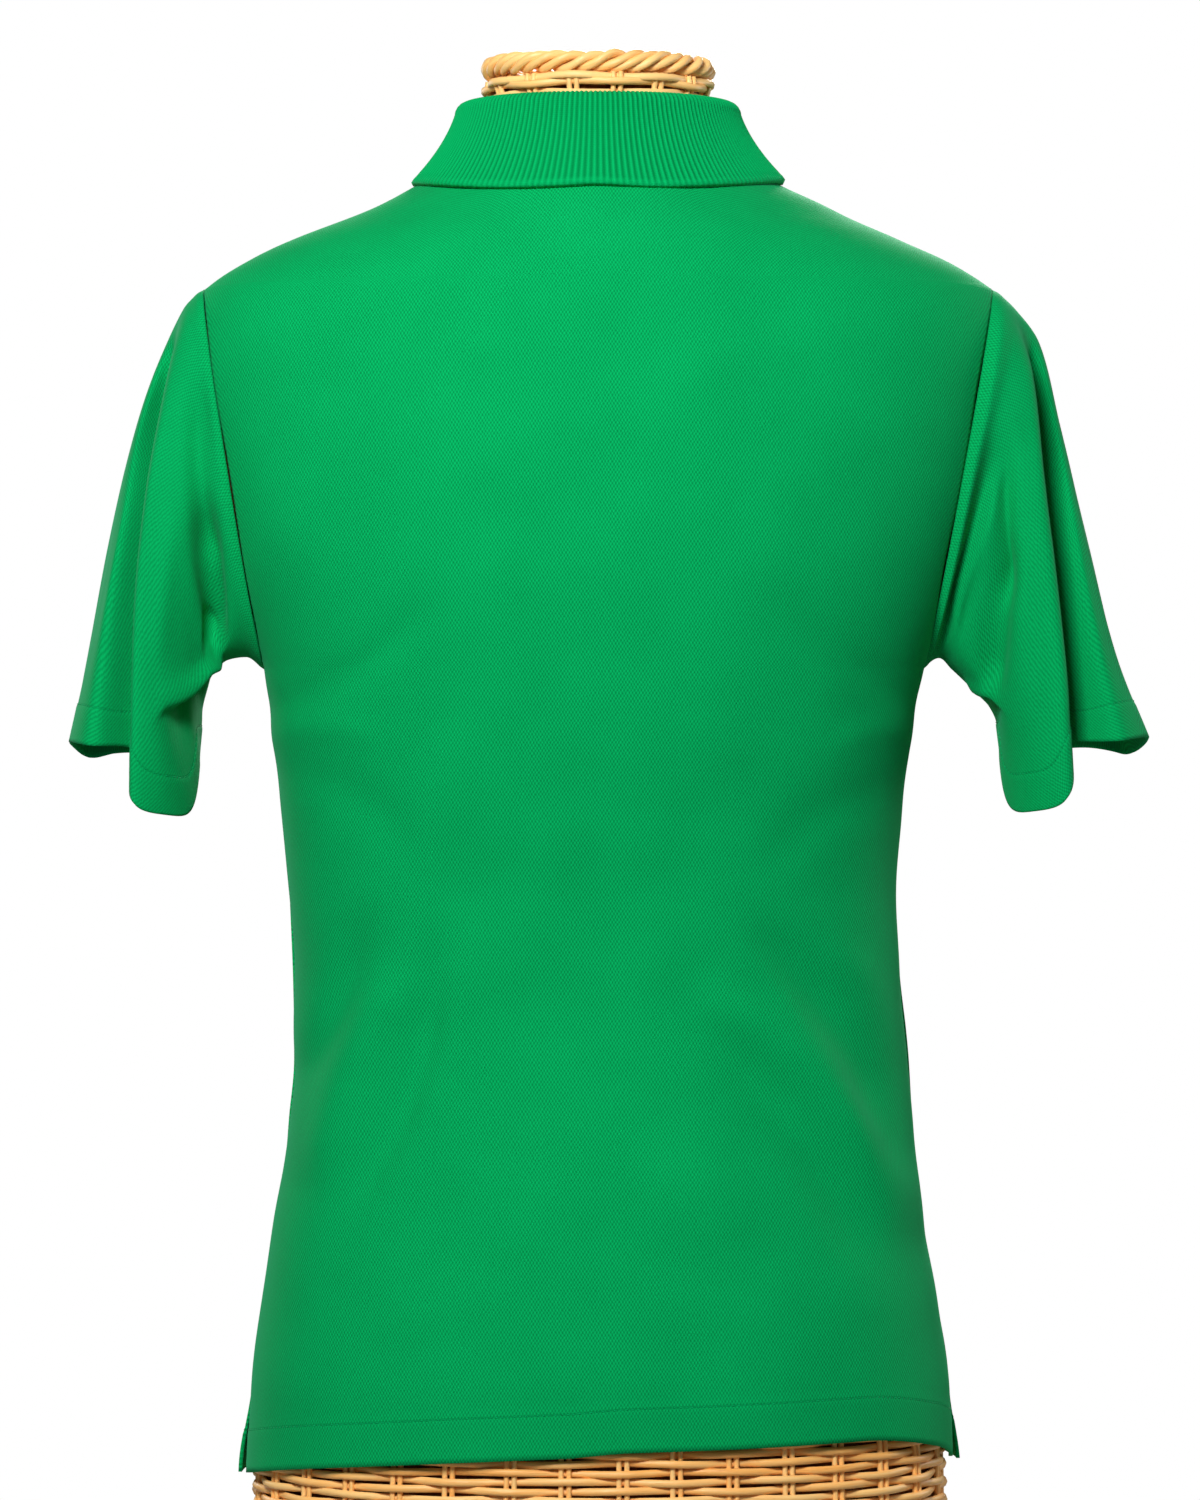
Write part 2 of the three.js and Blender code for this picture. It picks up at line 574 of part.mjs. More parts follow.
function sleevePoint(sleeve, angle, along) {
  const s = sleeve.curves;
  const top = { x: s.topX(along), z: s.topZ(along) };
  const under = { x: s.underX(along), z: s.underZ(along) };
  const up = (1 + Math.cos(angle)) / 2;
  const side = Math.sin(angle) >= 0 ? 1 : -1;
  const share = lerp(armholeShare(Math.cos(angle)), Math.abs(Math.sin(angle)), smooth(along / ROUND_BY));
  const deep = (side > 0 ? s.back(along) : s.front(along)) * share;
  const point = new THREE.Vector3(lerp(under.x, top.x, up), side * deep, lerp(under.z, top.z, up));
  for (const fold of sleeve.folds) {
    const off = (((angle * 180) / Math.PI - foldAngle(fold, along) + 900) % 360) - 180;
    const grown = smooth((along - fold.starts) / (fold.full - fold.starts));
    const strength = Math.exp(-(Math.abs(off / fold.wide) ** fold.flat)) * grown;
    point.x += Math.sign(top.x) * fold.out * strength;
    point.y += fold.back * strength;
    point.z -= fold.down * strength;
  }
  return point;
}

function sleeveGeometry(sleeve) {
  sleeve.curves = curves(sleeve.sections, "along", SLEEVE_PARTS);
  const { topX, topZ, underX, underZ } = sleeve.sections[0];
  const hand = Math.sign(topX);
  // The armhole's plane, facing away from the body.
  const away = new THREE.Vector3(topZ - underZ, 0, underX - topX).multiplyScalar(hand).normalize();
  const middle = new THREE.Vector3((topX + underX) / 2, 0, (topZ + underZ) / 2);
  const good = SLEEVE_ROWS.map((along) =>
    columnAngles(sleeve, along).map((angle) =>
      sleevePoint(sleeve, angle, along).addScaledVector(away, along === 0 ? SEAM : 0),
    ),
  );
  const inner = good.map((row, i) => {
    const angles = columnAngles(sleeve, SLEEVE_ROWS[i]);
    return row.map((point, j) => {
      if (i === 0) {
        const inward = middle.clone().sub(point);
        inward.addScaledVector(away, -inward.dot(away)).normalize();
        return point.clone().addScaledVector(inward, CLOTH);
      }
      const step = (turn, on) => sleevePoint(sleeve, angles[j] + turn, clamp(SLEEVE_ROWS[i] + on, 0, 1));
      const round = step(NORMAL_STEP.turn, 0).sub(step(-NORMAL_STEP.turn, 0));
      const down = step(0, NORMAL_STEP.along).sub(step(0, -NORMAL_STEP.along));
      const n = new THREE.Vector3().crossVectors(round, down).normalize();
      return point.clone().addScaledVector(n, hand * CLOTH);
    });
  });
  return wall(good, inner, { round: true });
}

// Collar
// `turn` runs round the neck, from the middle of the back (0) to the two ends at the front.
const halfEllipse = (wide, back, front, angle) =>
  new THREE.Vector3(wide * Math.sin(angle), (Math.cos(angle) >= 0 ? back : front) * Math.cos(angle), 0);

// The panels' top edges, as straight pieces between their columns, by the angle round the neck.
const panelTop = (rows, side) => panelGrid(rows.slice(-1), side, 0)[0];
const neckAngle = (point) =>
  Math.atan2(point.x / NECKLINE.wide, point.y / (point.y >= 0 ? NECKLINE.back : NECKLINE.front));
const topEdge = [...panelTop(backRows, 1), ...panelTop(frontRows, -1)]
  .map((point) => ({ angle: neckAngle(point), point }))
  .sort((a, b) => a.angle - b.angle);

function onTopEdge(angle) {
  const i = clamp(topEdge.findIndex((place) => place.angle > angle), 1, topEdge.length - 1);
  const [before, after] = [topEdge[i - 1], topEdge[i]];
  return before.point.clone().lerp(after.point, (angle - before.angle) / (after.angle - before.angle));
}

// The collar's cross-section at one turn: points of its good side, from the neckline inside,
// over the roll, to the free edge, and for each the way out of the cloth on that side.
function collarSection(turn) {
  const angle = turn * (Math.PI - Math.asin(COLLAR.endGap / NECKLINE.wide));
  const foot = onTopEdge(angle);
  foot.z += COLLAR.above;
  const middle = halfEllipse(COLLAR.rollWide, COLLAR.rollBack, COLLAR.rollFront, angle);
  const share = (from) => (Math.abs(turn) - from) / (1 - from);
  middle.z = lerp(COLLAR.rollZ, COLLAR.rollFrontZ, smooth(share(COLLAR.rollFallsFrom)));
  const away = new THREE.Vector3(middle.x, middle.y, 0).normalize();
  const up = new THREE.Vector3(0, 0, 1);

  // The free edge lies just over the shoulders, and at the front it runs out to the points.
  const edge = halfEllipse(COLLAR.edgeWide, COLLAR.edgeBack, COLLAR.edgeBack, angle);
  const forward = smooth(share(COLLAR.pointFrom));
  const bends = COLLAR.pointBends;
  const across = lerp(Math.max(Math.abs(edge.x), COLLAR.pointX), COLLAR.pointX, forward ** bends.x);
  if (forward > 0) edge.x = Math.sign(turn) * across;
  edge.y = lerp(edge.y, COLLAR.pointY, forward ** bends.y);
  edge.z = lerp(heightOver(edge.x, Math.max(edge.y, COLLAR.restY)), COLLAR.pointZ, forward ** bends.z);
  const side = edge.y >= 0 ? 1 : -1;
  const cover = depthAt(edge.x, edge.z, side) * side;
  edge.y = side * Math.max(side * edge.y, cover);
  const edgeOut = outward(edge.x, edge.y, edge.z);
  edge.addScaledVector(edgeOut, COLLAR.lift);

  const section = [];
  const put = (point, out) => section.push({ point, out });
  const stand = middle.clone().addScaledVector(away, -COLLAR.roll);
  const footIn = foot.clone().addScaledVector(away, -COLLAR_CLOTH);
  put(footIn, away.clone().negate());
  put(stand, away.clone().negate());
  for (const degrees of [120, 60]) {
    const out = away.clone().multiplyScalar(Math.cos(radians(degrees)));
    out.addScaledVector(up, Math.sin(radians(degrees)));
    put(middle.clone().addScaledVector(out, COLLAR.roll), out);
  }
  const top = middle.clone().addScaledVector(away, COLLAR.roll);
  put(top, away.clone());
  const fallOut = away.clone().add(edgeOut).normalize();
  const half = top.clone().lerp(edge, COLLAR.bendAt);
  half.addScaledVector(away, -COLLAR.bend);
  put(half, fallOut);
  put(edge, edgeOut);
  return section;
}

const FINE_FROM = 3; // the ribs show from this point of the section on

function collarGeometry() {
  const { stays, ribsPerStay, rib } = COLLAR;
  const fine = ribsPerStay * 2;
  const points = [];
  const place = (point) => points.push(point) - 1;
  const turnAt = (k) => (2 * k) / (stays * fine) - 1;
  const good = [];
  const inner = [];
  for (let k = 0; k <= stays * fine; k += 1) {
    const section = collarSection(turnAt(k));
    const standing = k % fine === 0;
    const raised = k % 2 === 1 ? rib : 0;
    good.push(
      section.map(({ point, out }, i) => {
        if (i < FINE_FROM) return standing ? place(point.clone()) : null;
        return place(point.clone().addScaledVector(out, raised));
      }),
    );
    inner.push(
      standing ? section.map(({ point, out }) => place(point.clone().addScaledVector(out, -COLLAR_CLOTH))) : null,
    );
  }
  const rows = good[0].length;
  const face = [];
  for (let k = 0; k < stays * fine; k += fine) {
    const next = k + fine;
    // The plain foot of the stand, and the strip that leads to the ribs.
    for (let i = 0; i < FINE_FROM - 1; i += 1)
      face.push(...quad(good[k][i], good[next][i], good[next][i + 1], good[k][i + 1]));
    const low = FINE_FROM - 1;
    const half = k + fine / 2;
    for (let f = k; f < next; f += 1)
      face.push([good[f < half ? k : next][low], good[f + 1][low + 1], good[f][low + 1]]);
    face.push([good[k][low], good[next][low], good[half][low + 1]]);
    for (let f = k; f < next; f += 1)
      for (let i = FINE_FROM; i < rows - 1; i += 1)
        face.push(...quad(good[f][i], good[f + 1][i], good[f + 1][i + 1], good[f][i + 1]));
    // The plain side.
    for (let i = 0; i < rows - 1; i += 1)
      face.push(...quad(inner[k][i], inner[k][i + 1], inner[next][i + 1], inner[next][i]));
    // The two long edges.
    face.push(...quad(good[k][0], inner[k][0], inner[next][0], good[next][0]));
    const end = rows - 1;
    for (let f = k; f < next; f += 1)
      face.push([good[f][end], good[f + 1][end], inner[f < half ? k : next][end]]);
    face.push([inner[k][end], good[half][end], inner[next][end]]);
  }
  for (const [k, turned] of [[0, false], [stays * fine, true]])
    for (let i = 0; i < rows - 1; i += 1) {
      const cell = quad(good[k][i], good[k][i + 1], inner[k][i + 1], inner[k][i]);
      face.push(...(turned ? cell.map(([a, b, c]) => [a, c, b]) : cell));
    }
  return geometryOf(points, facesOut(points, face));
}

// The form under the shirt, from its flat base to the top of its neck
function formRing(z, angle) {
  const side = Math.sin(angle) >= 0 ? 1 : -1;
  const hand = Math.cos(angle) >= 0 ? "left" : "right";
  const o = outline(z, hand, side);
  const x = o.wide * power(Math.cos(angle), 2 / o.square);
  const y = o.deep * power(Math.sin(angle), 2 / o.square);
  const share = Math.abs(y / o.deep);
  const gap = lerp(clear.side(z), side > 0 ? clear.back(z) : clear.front(z), share);
  const n = outward(x, y, z);
  if (z === 0) n.setZ(0).normalize();
  return new THREE.Vector3(x, y, z).addScaledVector(n, -gap);
}

function neckRing(z, angle) {
  const deep = Math.sin(angle) >= 0 ? neck.back(z) : neck.front(z);
  return new THREE.Vector3(neck.wide(z) * Math.cos(angle), deep * Math.sin(angle), z);
}

function formGeometry() {
  const angles = Array.from({ length: FORM_COLUMNS }, (_, j) => (2 * Math.PI * (j + 0.5)) / FORM_COLUMNS);
  const rings = [
    ...FORM_LEVELS.map((z) => angles.map((angle) => formRing(z, angle))),
    ...NECK.map(({ z }) => angles.map((angle) => neckRing(z, angle))),
  ];
  const points = rings.flat();
  const foot = points.push(new THREE.Vector3(0, 0, 0)) - 1;
  const top = points.push(new THREE.Vector3(0, 0, NECK_TOP_Z)) - 1;
  const at = (i, j) => i * FORM_COLUMNS + (j % FORM_COLUMNS);
  const face = [];
  for (let j = 0; j < FORM_COLUMNS; j += 1) {
    face.push([foot, at(0, j + 1), at(0, j)], [top, at(rings.length - 1, j), at(rings.length - 1, j + 1)]);
    for (let i = 0; i < rings.length - 1; i += 1)
      face.push(...quad(at(i, j), at(i, j + 1), at(i + 1, j + 1), at(i + 1, j)));
  }
  return geometryOf(points, facesOut(points, face));
}

const part = new THREE.Group();
const GREEN = "#00a95a";
const LOOKS = {
  pique: { color: GREEN, roughness: 0.9, metalness: 0 },
  rib: { color: GREEN, roughness: 0.92, metalness: 0 },
  button: { color: "#0f8a4e", roughness: 0.35, metalness: 0 },
  wicker: { color: "#d79a58", roughness: 0.55, metalness: 0 },
};

function add(name, body, look) {
  const mesh = body.isMesh ? body : new THREE.Mesh(body);
  mesh.material = new THREE.MeshStandardMaterial(LOOKS[look]);
  mesh.name = name;
  part.add(mesh);
}

add("back", backGeometry(), "pique");
add("front", frontGeometry(), "pique");
add("sleeve_left", sleeveGeometry(SLEEVE_LEFT), "pique");
add("sleeve_right", sleeveGeometry(SLEEVE_RIGHT), "pique");
add("placket_over", overGeometry(), "pique");
add("placket_under", underGeometry(), "pique");
add("collar", collarGeometry(), "rib");
add("form", formGeometry(), "wicker");
BUTTON.heights.forEach((height, i) => add(`button_${i + 1}`, buttonMesh(height), "button"));

export default part;
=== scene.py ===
import math

import bpy
import numpy as np
from mathutils import Matrix, Vector


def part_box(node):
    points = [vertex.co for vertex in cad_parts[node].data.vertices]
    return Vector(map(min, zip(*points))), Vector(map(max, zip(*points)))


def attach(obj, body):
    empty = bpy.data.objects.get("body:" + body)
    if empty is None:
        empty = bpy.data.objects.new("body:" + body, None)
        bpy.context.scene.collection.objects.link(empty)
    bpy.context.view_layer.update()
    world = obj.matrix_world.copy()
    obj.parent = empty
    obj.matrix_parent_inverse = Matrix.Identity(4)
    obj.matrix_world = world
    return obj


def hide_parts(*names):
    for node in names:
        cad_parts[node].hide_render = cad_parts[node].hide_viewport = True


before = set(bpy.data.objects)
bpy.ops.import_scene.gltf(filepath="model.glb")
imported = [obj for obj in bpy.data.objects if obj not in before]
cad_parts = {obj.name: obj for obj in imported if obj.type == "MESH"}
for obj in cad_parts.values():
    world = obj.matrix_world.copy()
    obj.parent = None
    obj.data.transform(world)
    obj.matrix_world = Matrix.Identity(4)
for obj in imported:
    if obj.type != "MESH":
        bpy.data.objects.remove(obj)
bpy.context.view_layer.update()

MM = 0.001
UP = np.array([0.0, 0.0, 1.0])

# Camera: the picture's frame, and the place of the view
PICTURE_WIDE_PX = 1200
PICTURE_HIGH_PX = 1500
MM_PER_PX = 0.546  # at the middle of the body, from the shoulders' real width
CAMERA_Y = 3000
MIDDLE_PX = 598  # the body's middle in the picture
BASE_PX = 1660  # the form's base lies below the picture's lower edge


def make_camera():
    data = bpy.data.cameras.new("camera")
    data.sensor_fit = "AUTO"
    data.sensor_width = 36
    data.lens = data.sensor_width * CAMERA_Y / (PICTURE_HIGH_PX * MM_PER_PX)
    data.clip_end = 50
    camera = bpy.data.objects.new("camera", data)
    x = (MIDDLE_PX - PICTURE_WIDE_PX / 2) * MM_PER_PX
    z = (BASE_PX - PICTURE_HIGH_PX / 2) * MM_PER_PX
    camera.location = (x * MM, CAMERA_Y * MM, z * MM)
    camera.rotation_euler = (math.radians(90), 0, math.radians(180))
    bpy.context.collection.objects.link(camera)
    bpy.context.scene.camera = camera


# Driving dimensions, in millimetres, as on the solids
CLOTH = 1.5
COLLAR_CLOTH = 1.8
SEAM = 0.3
SEWN = 0.03  # what is left of it at the armholes, which are drawn tight
HEM_Z = 104
ARMPIT_Z = 540.5
SHOULDER_Z = 748
NECK_TOP_Z = 871
ARMHOLE_DEEP = 54
CROWN_UP = 3.2
CROWN_ACROSS = 2.4
NECKLINE_WIDE = 79
NECKLINE_BACK = 68
NECKLINE_FRONT = 66
VENT_HIGH = 49
VENT_FLARE = 4.5
VENT_FORWARD = 2.2
VENT_DEEP = 22
PLACKET_HALF = 14
PLACKET_RAISED = 0.8
PLACKET_THICK = 2.3
PLACKET_FOOT_Z = 626.2
BODY_HEM = 23  # the hem's stitching lies this far above its edge
SLEEVE_HEM = 21

# The trunk's sections: height, half width at the left and the right, depth behind and in front,
# and the exponent of the rounded outline.
TRUNK = [
    (0, 181, 181, 119, 112, 2.3),
    (50, 188, 189, 126, 117, 2.35),
    (95, 191.8, 193.2, 130, 121, 2.4),
    (150, 189, 191.6, 130, 122, 2.4),
    (197, 183, 184.8, 125, 119, 2.4),
    (240, 176.4, 177, 118, 114, 2.35),
    (284, 169.5, 172.5, 110, 109, 2.3),
    (328, 166, 169.3, 103, 106, 2.25),
    (371, 166, 165, 99, 104, 2.25),
    (415, 168, 162.7, 99, 105, 2.3),
    (459, 172, 165, 103, 108, 2.35),
    (502, 176.4, 170.4, 109, 112, 2.4),
    (ARMPIT_Z, 182, 177, 113, 115, 2.4),
    (600, 196, 193, 117, 116, 2.4),
    (660, 207, 205, 116, 112, 2.3),
    (705, 215, 215, 111, 103, 2.15),
    (SHOULDER_Z, 214.5, 214.5, 102, 87, 2),
]
SHOULDERS = [
    (SHOULDER_Z, 214.5, 214.5, 102, 87, 2),
    (754, 206, 205.6, 100, 82.5, 1.98),
    (764.4, 187.6, 187.3, 96.5, 73, 1.9),
    (775.3, 163.8, 163.8, 92, 64, 1.82),
    (786.2, 137.5, 138.5, 86.5, 59.5, 1.76),
    (797, 113.5, 117, 80.5, 56.5, 1.75),
    (804, 100, 101.5, 74, 54.5, 1.8),
    (815.5, 79, 79, 62, 52, 1.9),
    (828, 68, 68, 57.5, 50.5, 2),
]
# The neck of the form: height, half width, depth behind and in front.
NECK = [
    (824, 63.5, 53.5, 47),
    (836, 61, 51.5, 46),
    (850, 61.8, 52, 47),
    (857, 64.4, 54.5, 50),
    (864, 63.2, 53.3, 49),
    (869, 59.5, 49.5, 45),
    (NECK_TOP_Z, 53, 43, 39),
]
# The form behind the cloth: height, and the distance at the sides, the back and the front.
CLEAR = [
    (0, 2, 2, 2),
    (95, 2.4, 2.6, 3),
    (150, 3.2, 3.4, 3.8),
    (240, 5, 6, 7),
    (330, 7, 8, 9),
    (415, 7.5, 8, 9),
    (500, 5, 6.5, 7.5),
    (ARMPIT_Z, 4, 5.5, 6),
    (600, 3.2, 4.5, 5.4),
    (660, 3, 3.5, 5.2),
    (715, 3.6, 3.2, 5),
    (SHOULDER_Z, 4.8, 3.6, 5),
    (758, 2.4, 2.5, 5),
    (815.5, 2.4, 2.6, 4.2),
]
# The hems: place across, from the right seam (-1) to the left (1), and height.
BACK_HEM = [(-1, 111.4), (-0.78, 124), (-0.5, 132), (-0.2, 130.5), (0.2, 124.5), (0.6, 115.5), (1, 103)]
FRONT_HEM = [(-1, 110), (-0.5, 117), (0, 121), (0.5, 116), (1, 102.5)]

# Soft ridges: side, start x and z, end x and z, how the line bows, height and width.
RIDGES = [
    (1, 108, 372, 150, 272, 4, 4.2, 13),
    (1, -66, 366, -163, 246, -11, 4.6, 13),
    (1, 60, 250, -70, 262, -10, 1.8, 26),
    (-1, 92, 388, 150, 290, -8, 3.6, 18),
    (-1, -84, 378, -152, 262, 9, 3.2, 19),
    (-1, 64, 236, -58, 246, -9, 1.8, 26),
]
RIDGE_ENDS, CREASE_ENDS, MARK_ENDS = 0.15, 0.3, 0.25


def table_curve(rows, column, key=0):
    """A smooth curve through a table's column that never overshoots its rows."""
    x = np.array([row[key] for row in rows], float)
    y = np.array([row[column] for row in rows], float)
    wide = np.diff(x)
    slope = np.diff(y) / wide
    tangent = np.empty_like(y)
    tangent[0] = slope[0]
    tangent[-1] = slope[-1]
    for i in range(1, len(y) - 1):
        before, after = slope[i - 1], slope[i]
        tangent[i] = 0 if before * after <= 0 else 2 * before * after / (before + after)

    def value(at):
        at = np.clip(np.asarray(at, float), x[0], x[-1])
        i = np.clip(np.searchsorted(x, at, side="right") - 1, 0, len(wide) - 1)
        t = (at - x[i]) / wide[i]
        a = (1 + 2 * t) * (1 - t) ** 2
        b = t * (1 - t) ** 2
        c = t * t * (3 - 2 * t)
        d = t * t * (t - 1)
        return a * y[i] + b * wide[i] * tangent[i] + c * y[i + 1] + d * wide[i] * tangent[i + 1]

    return value


def smooth(t):
    t = np.clip(t, 0, 1)
    return t * t * (3 - 2 * t)


def bell(t):
    return np.exp(-np.square(t))


def mix(a, b, t):
    return a + (b - a) * t


def power(base, exponent):
    return np.sign(base) * np.abs(base) ** exponent


def unit(vectors):
    return vectors / np.maximum(np.linalg.norm(vectors, axis=-1, keepdims=True), 1e-9)


def turns(count):
    """Angles evenly round a full turn."""
    return 2 * math.pi * np.arange(count) / count


def beside(dx, dz, x, z):
    """A place by the line from 0, 0 to dx, dz: its share of the way along, and how far off it is."""
    long = math.hypot(dx, dz)
    return (x * dx + z * dz) / long**2, (z * dx - x * dz) / long


def bowed(sag, along):
    """How far a line that bows by sag lies off the straight one."""
    inside = np.clip(along, 0, 1)
    return sag * 4 * inside * (1 - inside)


def ends(along, reach):
    """1 along a line, fading out from before its ends to as far past them."""
    return smooth((along + reach) / (2 * reach)) * smooth((1 + reach - along) / (2 * reach))


trunk_curves = [table_curve(TRUNK, i) for i in range(1, 6)]
shoulder_curves = [table_curve(SHOULDERS, i) for i in range(1, 6)]
neck_curves = [table_curve(NECK, i) for i in range(1, 4)]
clear_curves = [table_curve(CLEAR, i) for i in range(1, 4)]
ARMHOLE_MID_Z = (SHOULDER_Z + ARMPIT_Z) / 2
ARMHOLE_HALF_HIGH = (SHOULDER_Z - ARMPIT_Z) / 2
ARMHOLE_TOP = float(shoulder_curves[0](SHOULDER_Z))
ARMHOLE_UNDER = [float(trunk_curves[i](ARMPIT_Z)) for i in (0, 1)]


def armhole_share(up):
    """How much of its depth the armhole has at a height from its foot (-1) to its top (1)."""
    up = np.clip(up, -1, 1)
    crown = np.maximum(0, 1 - np.maximum(up, 0) ** CROWN_UP) ** (1 / CROWN_ACROSS)
    return np.where(up > 0, crown, np.sqrt(np.maximum(0, 1 - up * up)))


def outline(z, left, side):
    """The exponent, depth, half width and armhole reach of the shirt's outline at a height."""
    z, left = np.broadcast_arrays(np.asarray(z, float), np.asarray(left, bool))
    low = z < SHOULDER_Z
    column = [np.where(low, a(z), b(z)) for a, b in zip(trunk_curves, shoulder_curves)]
    square = column[4]
    deep = column[2] if side > 0 else column[3]
    wide = np.where(left, column[0], column[1])
    up = (z - ARMHOLE_MID_Z) / ARMHOLE_HALF_HIGH
    in_armhole = np.abs(up) < 1
    reach = np.where(in_armhole, ARMHOLE_DEEP * armhole_share(up), 0)
    under = np.where(left, ARMHOLE_UNDER[0], ARMHOLE_UNDER[1])
    edge = mix(under, ARMHOLE_TOP, (up + 1) / 2)
    through = edge / (1 - (reach / deep) ** square) ** (1 / square)
    return square, deep, np.where(in_armhole, through, wide), reach


def outward(x, y, z, side):
    """The direction away from the body at points of its outline."""
    left = x >= 0
    square, deep, wide, _ = outline(z, left, side)
    step = 0.5

    def value(height):
        p, d, w, _ = outline(height, left, side)
        return (np.abs(x) / w) ** p + (np.abs(y) / d) ** p

    nx = power(x, square - 1) / wide**square * square
    ny = power(y, square - 1) / deep**square * square
    nz = (value(z + step) - value(z - step)) / (2 * step)
    return unit(np.stack([nx, ny, nz], -1))


def height_over(x, y, side):
    """The height at which the shoulders' surface stands over a place in plan."""
    low = np.full(np.shape(x), float(SHOULDER_Z))
    high = np.full(np.shape(x), float(SHOULDERS[-1][0]))
    for _ in range(40):
        z = (low + high) / 2
        square, deep, wide, _ = outline(z, x >= 0, side)
        inside = (np.abs(x) / wide) ** square + (np.abs(y) / deep) ** square < 1
        low = np.where(inside, z, low)
        high = np.where(inside, high, z)
    return (low + high) / 2


def depth_at(x, z, side):
    square, deep, wide, _ = outline(z, np.asarray(x) >= 0, side)
    return side * deep * np.maximum(0, 1 - (np.abs(x) / wide) ** square) ** (1 / square)


def raised(table, reach, x, z, side):
    """The height of a table's ridges and hollows at points of the trunk."""
    high = np.zeros(np.broadcast(x, z).shape)
    for row_side, x0, z0, x1, z1, sag, tall, wide in table:
        if row_side == side:
            along, off = beside(x1 - x0, z1 - z0, x - x0, z - z0)
            high += tall * bell((off - bowed(sag, along)) / wide) * ends(along, reach)
    return high


# Steps of the fine grids
HALF_COLUMNS = 72
MIDDLE_COLUMNS = 4  # from the middle to the placket's edge
TRUNK_ROWS = 126
ARMHOLE_ROWS = 63
SHOULDER_ROWS = 40
SLIT_ROW = TRUNK_ROWS + ARMHOLE_ROWS * 4 // 9


def on_outline(z, side, hand, share):
    square, deep, wide, reach = outline(z, np.full(np.shape(z), hand > 0), side)
    nearest = np.arccos((PLACKET_HALF / wide) ** (square / 2))
    farthest = np.arcsin((reach / deep) ** (square / 2))
    angle = mix(nearest, farthest, share)
    x = hand * wide * np.cos(angle) ** (2 / square)
    return x, side * deep * np.sin(angle) ** (2 / square)


def columns():
    """Each column's hand, share of the way to the side, and share of the placket's half width."""
    out = [(1, 1 - k / HALF_COLUMNS, 1) for k in range(HALF_COLUMNS)]
    out += [(1, 0, 1 - k / MIDDLE_COLUMNS) for k in range(MIDDLE_COLUMNS)]
    out += [(1, 0, 0)]
    out += [(-1, 0, k / MIDDLE_COLUMNS) for k in range(1, MIDDLE_COLUMNS)]
    out += [(-1, k / HALF_COLUMNS, 1) for k in range(HALF_COLUMNS + 1)]
    return out


def place_row(z, side):
    """x and y of every column at the heights in z, one per column."""
    x = np.empty(len(COLUMNS))
    y = np.empty(len(COLUMNS))
    for hand in (1, -1):
        mine = np.array([c[0] == hand for c in COLUMNS])
        share = np.array([c[1] for c in COLUMNS])[mine]
        inner = np.array([c[2] for c in COLUMNS])[mine]
        px, py = on_outline(z[mine], side, hand, share)
        narrow = inner < 1
        px[narrow] = hand * PLACKET_HALF * inner[narrow]
        py[narrow] = depth_at(px[narrow], z[mine][narrow], side)
        x[mine] = px
        y[mine] = py
    return x, y


COLUMNS = columns()
ACROSS = np.array([hand * (0.08 * inner + 0.92 * share) for hand, share, inner in COLUMNS])


def neckline_row(side):
    deep = NECKLINE_BACK if side > 0 else NECKLINE_FRONT
    nearest = math.asin(PLACKET_HALF / NECKLINE_WIDE)
    angle = [
        hand * (mix(nearest, math.pi / 2, share) if inner == 1 else nearest * inner)
        for hand, share, inner in COLUMNS
    ]
    return NECKLINE_WIDE * np.sin(angle), side * deep * np.cos(angle)


def panel_places(side):
    """The panel's places from the hem to the neckline, as rows of x, y and z."""
    hem = table_curve(BACK_HEM if side > 0 else FRONT_HEM, 1)(ACROSS)
    rows = []
    for i in range(TRUNK_ROWS):
        z = mix(hem, ARMPIT_Z, i / TRUNK_ROWS)
        rows.append((*place_row(z, side), z))
    for i in range(ARMHOLE_ROWS + 1):
        level = ARMHOLE_MID_Z - ARMHOLE_HALF_HIGH * math.cos(math.pi * i / ARMHOLE_ROWS)
        z = np.full(len(COLUMNS), level)
        rows.append((*place_row(z, side), z))
    x0, y0, _ = rows[-1]
    x1, y1 = neckline_row(side)
    for i in range(1, SHOULDER_ROWS + 1):
        x = mix(x0, x1, i / SHOULDER_ROWS)
        y = mix(y0, y1, i / SHOULDER_ROWS)
        rows.append((x, y, height_over(x, y, side)))
    return np.array(rows).transpose(0, 2, 1)


def cloth_points(places, side, moved, relief=0):
    """Points of the shirt's good side over the places, with its folds and the vent's flare."""
    x, y, z = places[..., 0], places[..., 1], places[..., 2]
    high = raised(RIDGES, RIDGE_ENDS, x, z, side) + raised(CREASES, CREASE_ENDS, x, z, side)
    high += waves(x, z, side) + moved + relief
    points = places + outward(x, y, z, side) * high[..., None]
    points[..., 1] += side * SEAM / 2
    if side < 0:
        strength = smooth((HEM_Z + VENT_HIGH - z) / VENT_HIGH) * bell(points[..., 1] / VENT_DEEP)
        points[..., 0] += np.sign(x) * VENT_FLARE * strength
        points[..., 1] -= VENT_FORWARD * strength
    return points


